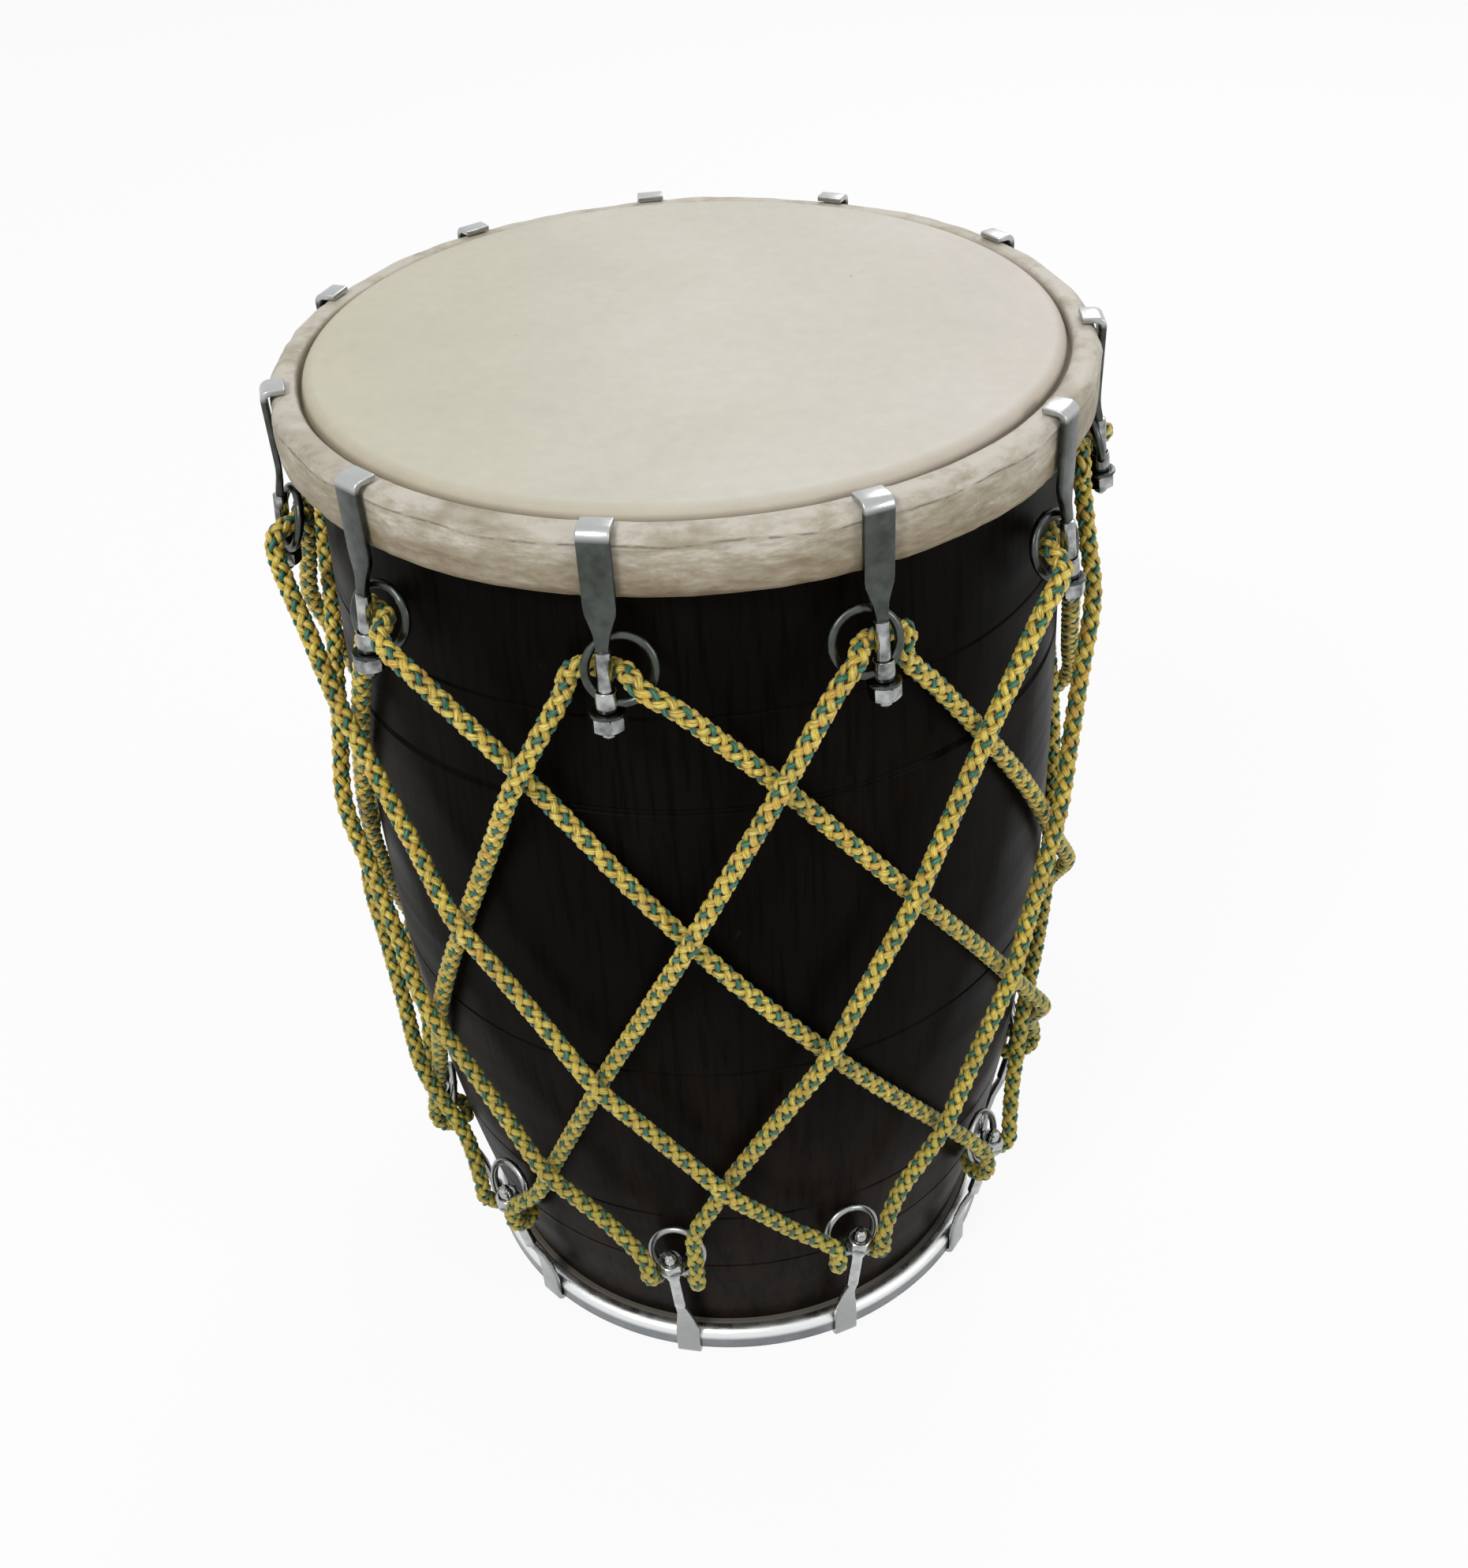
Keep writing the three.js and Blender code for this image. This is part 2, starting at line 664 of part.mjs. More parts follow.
function addTopSet(drum, k) {
  const angle = hookAngle(k, topShiftShares);
  const letter = hookLetter(k);
  addPiece(drum, `top_hook_${letter}`, topHookGeometry(), 'plate').rotation.z = angle;
  const rod = new THREE.Group();
  rod.position.copy(roundPoint(angle, topLugRadius, topLugHeight));
  rod.rotation.set(-topLean, 0, angle, 'ZYX');
  addPiece(rod, `top_ring_${letter}`, topRingGeometry(topFronts[k]), 'plate');
  addPiece(rod, `tuning_nut_${letter}`, topNutGeometry(), 'plate');
  drum.add(rod);
}

function addBottomSet(drum, k) {
  const angle = hookAngle(k, bottomShiftShares);
  const letter = hookLetter(k);
  addPiece(drum, `bottom_hook_${letter}`, bottomHookGeometry(), 'plate').rotation.z = angle;
  const rod = new THREE.Group();
  rod.position.copy(roundPoint(angle, bottomLugRadius, bottomLugHeight));
  rod.rotation.set(bottomLean, 0, angle, 'ZYX');
  addPiece(rod, `bottom_ring_${letter}`, bottomRingGeometry(bottomSwings[k]), 'plate');
  drum.add(rod);
}

function dhol() {
  const drum = new THREE.Group();
  addPiece(drum, 'shell', shellGeometry(), 'lacquer');
  addPiece(drum, 'top_head', topHeadGeometry(), 'hide');
  addPiece(drum, 'bottom_head', bottomHeadGeometry(), 'hide');
  addPiece(drum, 'bottom_hoop', steelHoopGeometry(), 'plate');
  for (let k = 0; k < hookCount; k += 1) {
    addTopSet(drum, k);
    addBottomSet(drum, k);
  }
  addPiece(drum, 'lacing_rope', ropeGeometry(), 'rope');
  return drum;
}

export default dhol();
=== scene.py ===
"""A dhol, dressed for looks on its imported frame.

A barrel of turned, lacquered wood stands on its smaller end. Goat hide closes both ends, eleven plated
steel hooks a side pull the heads home, and one braided rope laces the rings of the upper hooks to those
of the lower ones. Lengths are in metres, +Z is up, and angles run from -Y towards +X.
"""

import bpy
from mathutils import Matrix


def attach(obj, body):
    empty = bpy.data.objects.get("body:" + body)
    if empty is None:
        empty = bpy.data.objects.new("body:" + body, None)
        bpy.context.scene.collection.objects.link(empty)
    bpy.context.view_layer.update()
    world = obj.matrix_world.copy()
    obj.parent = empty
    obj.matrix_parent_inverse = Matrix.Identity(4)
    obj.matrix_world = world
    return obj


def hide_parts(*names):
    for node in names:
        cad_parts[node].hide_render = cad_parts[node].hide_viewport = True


bl_info = {
    "name": "Dhol",
    "version": (1, 0, 0),
    "blender": (4, 5, 0),
    "location": "3D View > Sidebar > Dhol",
    "description": "Builds a rope-laced barrel drum with hide heads and plated steel tension hooks",
    "category": "Add Mesh",
}

import math

import bmesh
import bpy
import numpy as np
from bpy.props import FloatProperty, FloatVectorProperty, IntProperty, PointerProperty
from mathutils import Matrix, Vector, noise

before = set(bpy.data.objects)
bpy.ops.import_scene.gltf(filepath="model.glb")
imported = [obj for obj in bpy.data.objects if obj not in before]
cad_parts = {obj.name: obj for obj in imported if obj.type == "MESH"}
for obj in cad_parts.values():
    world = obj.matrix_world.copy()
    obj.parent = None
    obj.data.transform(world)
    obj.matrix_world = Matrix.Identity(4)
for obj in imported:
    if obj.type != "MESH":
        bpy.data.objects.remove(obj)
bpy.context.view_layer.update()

MM = 0.001
HOOKS = "abcdefghijk"
HOOK_COUNT = len(HOOKS)
PITCH = 2 * math.pi / HOOK_COUNT
FIRST_HOOK = math.radians(-77.8)
# Where each hook sits, as shares of the even pitch
TOP_SHIFTS = (-0.03, -0.04, 0.015, 0.03, 0.06, -0.01, 0.05, 0.05, 0, -0.05, -0.08)
BOTTOM_SHIFTS = (0, -0.06, -0.02, 0, 0.02, 0, 0.03, -0.02, 0, 0.02, 0)
# The side on which a leg of the rope passes in front of its upper ring, 1 for the right
TOP_FRONTS = (1, 1, 1, -1, -1, 1, -1, 1, 1, -1, 1)
BOTTOM_SWINGS = (1, -1, 1, -1, -1, 1, -1, 1, -1, 1, 1)
# How far each leg of the rope was laid aside of its hooks, above and below, as shares of the pitch
LEFT_LEGS = ((0, 0), (0, 0), (-0.03, 0.02), (-0.05, 0.1), (-0.09, -0.06), (0.03, 0.02), (0, 0), (0, 0),
             (0.03, 0), (0, 0.03), (0, 0))
RIGHT_LEGS = ((-0.05, -0.08), (0.05, 0.03), (0.02, 0.06), (-0.1, -0.08), (0, 0), (0, 0), (0.02, 0),
              (0, 0), (-0.02, 0), (0, 0), (0, -0.02))


def linear(hex_colour):
    """An sRGB hex colour as linear red, green and blue."""
    parts = [int(hex_colour[i:i + 2], 16) / 255 for i in (1, 3, 5)]
    return tuple(c / 12.92 if c <= 0.04045 else ((c + 0.055) / 1.055) ** 2.4 for c in parts)


def length(name, description, millimetres):
    return FloatProperty(name=name, description=description, default=millimetres * MM, unit="LENGTH",
                         precision=5)


def colour(name, description, hex_colour):
    return FloatVectorProperty(name=name, description=description, default=linear(hex_colour), size=3,
                               subtype="COLOR", min=0, max=1)


class DholShellSettings(bpy.types.PropertyGroup):
    foot: length("Foot height", "Height of the shell's lower edge", 6.3)
    top: length("Top height", "Height of the shell's upper edge", 498.8)
    belly_height: length("Belly height", "Height of the widest place", 290)
    top_radius: length("Top radius", "Outer radius at the upper edge", 154)
    belly_swell: length("Belly swell", "How far the belly stands out beyond the upper edge", 7)
    foot_draw: length("Foot draw", "How far the lower curve draws in by the floor", 34)
    wall: length("Wall", "Thickness of the turned wall", 11)
    edge: length("Edge rounding", "Rounding of the two bearing edges", 3)
    groove: length("Groove depth", "Depth of the turned line grooves", 0.6)
    lacquer: colour("Lacquer", "Near-black brown of the lacquered wood", "#0d0b09")
    bare: colour("Thin lacquer", "Redder brown where the lacquer is thin", "#29201a")


class DholHeadSettings(bpy.types.PropertyGroup):
    hide: length("Hide", "Thickness of the hide", 1.6)
    edge: length("Edge", "Rounding of the playing surface's edge", 6)
    groove_width: length("Groove width", "Width of the tuck inside the wrapped hoop", 1.6)
    hoop_width: length("Hoop width", "Width of the wrapped hoop", 11.8)
    hoop_height: length("Hoop height", "Height of the wrapped hoop", 27.5)
    hoop_drop: length("Hoop drop", "How far the hoop lies below the playing surface", 2.5)
    lumps: length("Lumps", "How uneven the wrapped hide is", 0.8)
    bulge: length("Bulge", "How far the wrapped hoop swells between two hooks", 1.3)
    ivory: colour("Ivory", "Main colour of the scraped hide", "#cfcabd")
    tan: colour("Tan", "Colour of the hide's thicker and handled places", "#a8906c")


class DholHardwareSettings(bpy.types.PropertyGroup):
    strap_width: length("Strap width", "Width of a hook's strap", 12)
    strap_thickness: length("Strap thickness", "Thickness of a hook's strap", 2.6)
    lip: length("Lip", "How far a hook reaches over its hoop", 9)
    bend: length("Bend radius", "Middle radius of a hook's bend", 3)
    rod: length("Rod diameter", "Diameter of a hook's rod", 6)
    thread: length("Thread pitch", "Pitch of the rod's thread", 1.27)
    ring_radius: length("Ring radius", "Radius of a ring to the middle of its wire", 12.5)
    ring_wire: length("Ring wire", "Diameter of a ring's wire", 3.6)
    lug: length("Lug diameter", "Diameter of the lug on the rod", 8.4)
    nut: length("Nut", "Width of a nut across its flats", 11)
    washer: length("Washer", "Diameter of a washer", 13)
    # Plate and polished are one zinc plate: dark on the straps as a painted dark reflection, bright on rods,
    # lugs and nuts as a painted reflection
    plate: colour("Plate", "Colour of the zinc plate on the straps", "#4d514e")
    polished: colour("Polished", "Colour of the rubbed plate on rods, lugs and nuts", "#a9acab")
    hoop_steel: colour("Hoop steel", "Colour of the steel hoop's outer face", "#84878a")


class DholRopeSettings(bpy.types.PropertyGroup):
    diameter: length("Rope diameter", "Diameter over the braid's strands", 8.5)
    lay: length("Lay", "Length in which a strand goes once round the rope", 26)
    step: length("Step", "Distance between two sections of a strand", 1.1)
    strands: IntProperty(name="Strands", description="Strands that run each way round", default=4, min=2,
                         max=8)
    gold: colour("Gold", "Colour of most of the strands", "#cdb02c")
    green: colour("Green", "Colour of the tracer strands", "#17604a")


class DholStageSettings(bpy.types.PropertyGroup):
    focal_px: FloatProperty(name="Focal length", description="Focal length in pixels of the photograph",
                            default=2199.2)
    photo_height_px: FloatProperty(name="Photograph height", description="Height of the frame in pixels",
                                   default=1988)
    elevation: FloatProperty(name="Elevation", description="How far the camera looks down",
                             default=0.393407, subtype="ANGLE")
    roll: FloatProperty(name="Roll", description="Roll of the camera", default=0.064203, subtype="ANGLE")
    yaw: FloatProperty(name="Yaw", description="Turn off the aimed point", default=0.012078,
                       subtype="ANGLE")
    tilt: FloatProperty(name="Tilt", description="Tilt off the aimed point", default=-0.256446,
                        subtype="ANGLE")
    distance: length("Distance", "Distance of the camera from the aimed point", 738.3)
    aim_height: length("Aim height", "Height of the aimed point on the drum's axis", 498.6)
    floor: colour("Floor", "Colour of the floor", "#f2f1ee")


def shell():
    return bpy.context.scene.dhol_shell


def heads():
    return bpy.context.scene.dhol_heads


def hardware():
    return bpy.context.scene.dhol_hardware


def rope():
    return bpy.context.scene.dhol_rope


def view():
    return bpy.context.scene.dhol_stage


# Places that several pieces share

GAP = 0.3 * MM
STEEL_HOOP_WIDTH = 8 * MM
STEEL_HOOP_HEIGHT = 12 * MM
REBATE_WIDTH = 1.6 * MM
REBATE_DEPTH = 5 * MM
TOP_LEAN = math.radians(6)
BOTTOM_LEAN = math.radians(11)
# Upper lugs hang this far below the wrapped hoop and stand this far out from the straps
TOP_LUG_DROP = 63.5 * MM
TOP_LUG_OUTSET = 4.1 * MM
BOTTOM_LUG_HEIGHT = 88 * MM
# How far the rope stays clear of the wood, beyond the gap
ROPE_CLEARANCE = 0.5 * MM
FOOT_CURVE, BELLY_CURVE = 2.2, 2

# The shell's line grooves: heights in millimetres, and a section as [offset in millimetres, share of depth]
GROOVES = (415, 373, 371, 227, 119, 74)
GROOVE_SECTION = ((-0.9, 0), (-0.35, 0.8), (0, 1), (0.35, 0.8), (0.9, 0))
GROOVE_CLEAR = 1.6 * MM

# The hides: where their flat middles end, and how far the playing surface is pressed in
PLAYING_RADIUS = 150 * MM
PLAYING_FLAT = 147 * MM
LOWER_FLAT = 118 * MM
HOLLOW = 0.5 * MM

# Hooks: necks and tips along the rod from the lug, the rod's threaded end, and shares of a strap's width and
# thickness as it is drawn down
TOP_NECK, TOP_TIP = 20 * MM, 15.5 * MM
BOTTOM_NECK, BOTTOM_TIP = 36 * MM, 17 * MM
THREADED = 17 * MM
STRAP_TAPER = ((0, 1, 1), (0.2, 0.95, 1), (0.45, 0.74, 1.05), (0.7, 0.53, 1.15), (1, 0.41, 1.25))

# Rings, lugs and nuts
LUG_HALF = 4 * MM
WASHER_THICKNESS = 1.4 * MM
NUT_HEIGHT = 6 * MM
NUT_TURN = 0.35
WELD_ANGLE = math.radians(70)
TOP_RING_SWING, TOP_RING_LEAN, TOP_RING_TURN = (math.radians(a) for a in (26, 12, 12))
BOTTOM_RING_SWING, BOTTOM_RING_LEAN = (math.radians(a) for a in (12, 25))

# The stage, and its lamps as name, place, aimed point, size in metres and power in watts
FLOOR_SIZE = 12
SENSOR_HEIGHT = 36
CLIP_END = 50
LAMPS = (
    ("key", (-1.1, -1.6, 2.3), (0, 0, 0.35), 0.8, 31),
    ("fill", (1.9, -1.2, 1.2), (0, 0, 0.25), 0.7, 10),
    ("back", (0.9, 1.9, 1.9), (0, 0, 0.3), 1.2, 17),
)


def shell_radius(z):
    s = shell()
    if z < s.belly_height:
        draw, span, power = s.foot_draw, s.belly_height, FOOT_CURVE
    else:
        draw, span, power = s.belly_swell, s.top - s.belly_height, BELLY_CURVE
    return s.top_radius + s.belly_swell - draw * (abs(z - s.belly_height) / span) ** power


def hoop_top():
    return shell().top + GAP + heads().hide - heads().hoop_drop


def hoop_inner():
    return shell().top_radius + GAP + heads().hide + heads().groove_width


def hoop_outer():
    return hoop_inner() + heads().hoop_width


def steel_hoop_foot():
    return hardware().strap_thickness + GAP


def steel_hoop_inner():
    rim = steel_hoop_foot() + STEEL_HOOP_HEIGHT
    return shell_radius(rim) + heads().hide + 2 * GAP + 0.1 * MM


def top_strap_radius():
    return hoop_outer() + GAP + hardware().strap_thickness / 2


def bottom_strap_radius():
    return steel_hoop_inner() + STEEL_HOOP_WIDTH + GAP + hardware().strap_thickness / 2


def top_lug_height():
    return hoop_top() - TOP_LUG_DROP


def top_lug_radius():
    return top_strap_radius() + TOP_LUG_OUTSET


def top_rod_axis(z):
    return top_lug_radius() + (top_lug_height() - z) * math.tan(TOP_LEAN)


def bottom_lug_radius():
    stand_off = 2 * GAP + rope().diameter + ROPE_CLEARANCE + hardware().rod / 2
    return shell_radius(BOTTOM_LUG_HEIGHT) + stand_off


def bottom_rod_axis(z):
    return bottom_lug_radius() + (z - BOTTOM_LUG_HEIGHT) * math.tan(BOTTOM_LEAN)


def hook_angle(k, shifts):
    return FIRST_HOOK + (k + shifts[k % HOOK_COUNT]) * PITCH


def round_point(angle, radius, z):
    return Vector((radius * math.sin(angle), -radius * math.cos(angle), z))


def top_rod_frame(k):
    angle = hook_angle(k, TOP_SHIFTS)
    return (Matrix.Translation(round_point(angle, top_lug_radius(), top_lug_height()))
            @ Matrix.Rotation(angle, 4, "Z") @ Matrix.Rotation(-TOP_LEAN, 4, "X"))


def bottom_rod_frame(k):
    angle = hook_angle(k, BOTTOM_SHIFTS)
    return (Matrix.Translation(round_point(angle, bottom_lug_radius(), BOTTOM_LUG_HEIGHT))
            @ Matrix.Rotation(angle, 4, "Z") @ Matrix.Rotation(BOTTOM_LEAN, 4, "X"))


# Modelling helpers

NEAR_AXIS = 0.05 * MM
MERGE_DISTANCE = 0.01 * MM


def start():
    """Leaves edit mode and deselects everything, so that the next operator acts on its own piece."""
    if bpy.context.object and bpy.context.object.mode != "OBJECT":
        bpy.ops.object.mode_set(mode="OBJECT")
    bpy.ops.object.select_all(action="DESELECT")


def choose(piece):
    """Selects one piece alone and makes it active."""
    start()
    bpy.context.view_layer.objects.active = piece
    piece.select_set(True)


def named(name):
    """The piece that an operator has just added, under its own name."""
    piece = bpy.context.object
    piece.name = piece.data.name = name
    return piece


def edit(piece, mode="FACE"):
    choose(piece)
    bpy.ops.object.mode_set(mode="EDIT")
    bpy.ops.mesh.select_mode(type=mode)


def select_faces(piece, wanted):
    """In edit mode, selects the faces for whose normals wanted(normal) holds."""
    bpy.ops.mesh.select_all(action="DESELECT")
    mesh = bmesh.from_edit_mesh(piece.data)
    for face in mesh.faces:
        face.select_set(wanted(face.normal))
    bmesh.update_edit_mesh(piece.data)


def extrude(move, scale, centre):
    """Extrudes what is selected, then scales the new end about a centre."""
    bpy.ops.mesh.extrude_region_move(TRANSFORM_OT_translate={"value": tuple(move)})
    bpy.ops.transform.resize(value=scale, center_override=centre)


def apply_modifier(piece, kind, **settings):
    choose(piece)
    modifier = piece.modifiers.new(kind.title(), kind)
    for key, value in settings.items():
        setattr(modifier, key, value)
    bpy.ops.object.modifier_apply(modifier=modifier.name)


def apply_bevel(piece, width, segments, degrees):
    apply_modifier(piece, "BEVEL", width=width, segments=segments, limit_method="ANGLE",
                   angle_limit=math.radians(degrees))


def apply_boolean(piece, cutter, operation="DIFFERENCE"):
    apply_modifier(piece, "BOOLEAN", object=cutter, operation=operation, solver="EXACT")
    bpy.data.objects.remove(cutter)


def smooth(piece, degrees):
    choose(piece)
    bpy.ops.object.shade_smooth_by_angle(angle=math.radians(degrees))


def settle(piece):
    """Puts a new piece's place into its mesh, so that its object sits at the origin."""
    choose(piece)
    bpy.ops.object.transform_apply(location=True, rotation=True, scale=True)


def close_up(piece):
    edit(piece, "VERT")
    bpy.ops.mesh.select_all(action="SELECT")
    bpy.ops.mesh.remove_doubles(threshold=MERGE_DISTANCE)
    bpy.ops.mesh.normals_make_consistent(inside=False)
    start()


def turned(name, outline, segments):
    """A piece turned round the drum's axis: a ring is extruded from one [radius, height] to the next."""
    start()
    bpy.ops.mesh.primitive_circle_add(vertices=segments, radius=outline[0][0], fill_type="NOTHING")
    piece = named(name)
    edit(piece, "VERT")
    bpy.ops.mesh.select_all(action="SELECT")
    bpy.ops.transform.translate(value=(0, 0, outline[0][1]))
    for (radius, z), (next_radius, next_z) in zip(outline, outline[1:]):
        share = next_radius / radius
        extrude((0, 0, next_z - z), (share, share, 1), (0, 0, next_z))
    if outline[-1][0] < 2 * NEAR_AXIS:
        bpy.ops.mesh.merge(type="CENTER")
    if outline[0][0] < 2 * NEAR_AXIS:
        edit(piece, "VERT")
        bpy.ops.mesh.select_all(action="DESELECT")
        mesh = bmesh.from_edit_mesh(piece.data)
        for vertex in mesh.verts:
            at_end = abs(vertex.co.z - outline[0][1]) < 2 * NEAR_AXIS
            vertex.select_set(at_end and vertex.co.xy.length < 4 * NEAR_AXIS)
        bmesh.update_edit_mesh(piece.data)
        bpy.ops.mesh.merge(type="CENTER")
    close_up(piece)
    return piece


def quarter(steps, first=0):
    """Angles of a quarter turn in equal steps, from the first one wanted to the last."""
    return [math.pi / 2 * i / steps for i in range(first, steps + 1)]


def rounded(corners, radius, steps=4):
    """An outline with its corners rounded, from [radius, height] pairs."""
    out = []
    count = len(corners)
    for i, corner in enumerate(corners):
        here = Vector(corner)
        before = Vector(corners[i - 1]) - here
        after = Vector(corners[(i + 1) % count]) - here
        reach = min(radius, before.length / 2.2, after.length / 2.2)
        a, b = here + before.normalized() * reach, here + after.normalized() * reach
        for s in range(steps + 1):
            t = s / steps
            out.append(tuple(a * (1 - t) ** 2 + here * (2 * t * (1 - t)) + b * t ** 2))
    return out


def closed(outline):
    return outline + outline[:1]


def paint(piece, material):
    piece.data.materials.clear()
    piece.data.materials.append(material)


def finish(piece, body, slot, material, *nodes):
    """Ties a piece to its body and hides the imported parts of its nodes. A pattern that was painted keeps
    its own materials. The slot is not used.
    """
    if material:
        paint(piece, material)
    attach(piece, body)
    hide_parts(*nodes)


def copies(pattern, names, places):
    """Copies of a pattern piece, each with its own mesh, put in place by a matrix. The pattern goes."""
    made = []
    for name, place in zip(names, places):
        choose(pattern)
        bpy.ops.object.duplicate(linked=False)
        piece = named(name)
        piece.data.transform(place)
        made.append(piece)
    bpy.data.objects.remove(pattern)
    return made


def fit_copies(pattern, kind, chosen, place):
    """Copies of a plated pattern at the chosen hooks, each at place(k) and tied to its own node. A tuning
    nut rides its own body, and the other kinds ride the drum."""
    nodes = [f"{kind}_{HOOKS[k]}" for k in chosen]
    pieces = copies(pattern, ["plated_" + node for node in nodes], [place(k) for k in chosen])
    for piece, node, k in zip(pieces, nodes, chosen):
        body = f"nut_{HOOKS[k]}" if kind == "tuning_nut" else "drum"
        finish(piece, body, "plated_steel", None, node)


def joined(pieces):
    start()
    for piece in pieces:
        piece.select_set(True)
    bpy.context.view_layer.objects.active = pieces[0]
    bpy.ops.object.join()
    return bpy.context.object


# Materials

def rgba(value):
    """A hex colour or a linear one, with its alpha."""
    return (*(linear(value) if isinstance(value, str) else value), 1.0)


def add(tree, kind, *values, out=0, at=None, stops=(), **named_values):
    """Adds a node and returns one of its outputs, or the node itself where it has none. Values go to its
    first inputs in order, and at gives inputs by number or name. Capitalised names are inputs too, and the
    other names are settings. A value is a constant or another node's output, and stops are the (place,
    colour) stops of a colour ramp."""
    node = tree.nodes.new("ShaderNode" + kind)
    inputs = {**dict(enumerate(values)), **(at or {})}
    for key, value in named_values.items():
        if key[0].isupper():
            inputs[key.replace("_", " ")] = value
        else:
            setattr(node, key, value)
    for key, value in inputs.items():
        if isinstance(value, bpy.types.NodeSocket):
            tree.links.new(value, node.inputs[key])
        else:
            node.inputs[key].default_value = rgba(value) if node.inputs[key].type == "RGBA" else value
    for i, (place, value) in enumerate(stops):
        elements = node.color_ramp.elements
        element = elements[i] if i < 2 else elements.new(place)
        element.position = place
        element.color = rgba(value)
    return node.outputs[out] if node.outputs else node


# Rows of nodes: their kind, the input that leads from one to the next, the inputs that each step gives, and
# what they have in common

OVERLAY = ("Mix", 6, (0, 7), {"out": 2, "data_type": "RGBA"})
SHADE = ("Mix", 6, (7,), {"out": 2, "data_type": "RGBA", "blend_type": "MULTIPLY", "Factor": 1.0})
RELIEF = ("Bump", "Normal", ("Height", "Strength", "Distance"), {})


def row(tree, pattern, first, *steps):
    """A row of nodes in a pattern, from what the first one takes to what the last one gives."""
    kind, through, keys, common = pattern
    for step in steps:
        inputs = dict(zip(keys, step))
        if first is not None:
            inputs[through] = first
        first = add(tree, kind, at=inputs, **common)
    return first


def new_material(name):
    material = bpy.data.materials.new(name)
    material.use_nodes = True
    material.node_tree.nodes.clear()
    return material, material.node_tree


def surfaced(material, shader):
    """The material, with a shader as its surface."""
    add(material.node_tree, "OutputMaterial", shader).is_active_output = True
    return material


def shared(maker):
    """The material that a function makes, made once and shared by all the pieces that have it."""
    return bpy.data.materials.get(maker.__name__) or maker()


def patches(tree, place, scale, detail, low, high, to_low=0, to_high=1, **settings):
    """Noise between low and high, spread over a range."""
    value = add(tree, "TexNoise", place, Scale=scale, Detail=detail, **settings)
    return add(tree, "MapRange", value, low, high, to_low, to_high)


def line_at(tree, value, middle, far, near, most):
    """A soft line where value comes close to middle: most within near of it, nothing beyond far."""
    away = add(tree, "Math", value, middle, operation="SUBTRACT")
    away = add(tree, "Math", away, operation="ABSOLUTE")
    return add(tree, "MapRange", away, far, near, 0, most)


def lacquered_mango_wood():
    """Mango wood, turned on a lathe, stained nearly black and lacquered by brush. The lacquer gives soft,
    slightly broken reflections, the lathe faint level lines, and the stain thins to a redder brown low
    down."""
    s = shell()
    material, tree = new_material("lacquered_mango_wood")
    place = add(tree, "TexCoord", out="Object")
    height = add(tree, "SeparateXYZ", place, out="Z")
    # Grain runs up the drum, with pores about 1.5 mm apart
    upright = add(tree, "Mapping", place, Scale=(1, 1, 0.06))
    grain = add(tree, "TexNoise", upright, Scale=330, Detail=5, Roughness=0.62)
    streak = add(tree, "TexNoise", upright, Scale=46, Detail=4, Distortion=0.4)
    pores = add(tree, "MapRange", grain, 0.36, 0.5, 0.55, 1)
    # Tool marks lie level, about 1.1 mm apart
    level = add(tree, "Mapping", place, Scale=(0.02, 0.02, 1))
    lathe = add(tree, "TexNoise", level, Scale=900, Detail=2)
    # The stain is thin from 240 mm down, in clouds, and more so in some streaks of the grain
    low = add(tree, "MapRange", height, 0.24, 0.03, 0, 0.62)
    thin = add(tree, "Math", low, patches(tree, place, 9, 3, 0.42, 0.72, 0, 0.2), operation="ADD")
    streaky = add(tree, "MapRange", streak, 0.35, 0.7, 0.35, 1.25)
    thin = add(tree, "Math", thin, streaky, operation="MULTIPLY", use_clamp=True)
    # Scuffs are short pale scratches, clear of most of the shell
    aslant = add(tree, "Mapping", place, Scale=(1, 1, 0.35), Rotation=(0.2, 0.7, 0.3))
    scuffed = add(tree, "Math", patches(tree, aslant, 140, 6, 0.66, 0.74, Roughness=0.7),
                  patches(tree, place, 14, 1, 0.56, 0.66, 0, 0.5), operation="MULTIPLY")
    brown = row(tree, SHADE, row(tree, OVERLAY, s.lacquer, (thin, s.bare)), (pores,))
    rough = add(tree, "Math", patches(tree, level, 60, 3, 0.3, 0.7, 0.3, 0.44), scuffed, operation="ADD")
    return surfaced(material, add(
        tree, "BsdfPrincipled", Base_Color=row(tree, OVERLAY, brown, (scuffed, "#4a3529")), Roughness=rough,
        IOR=1.5, Specular_IOR_Level=0.015,
        Normal=row(tree, RELIEF, None, (lathe, 0.35, 0.00012), (grain, 0.4, 0.0002),
                   (streak, 0.35, 0.0008))))


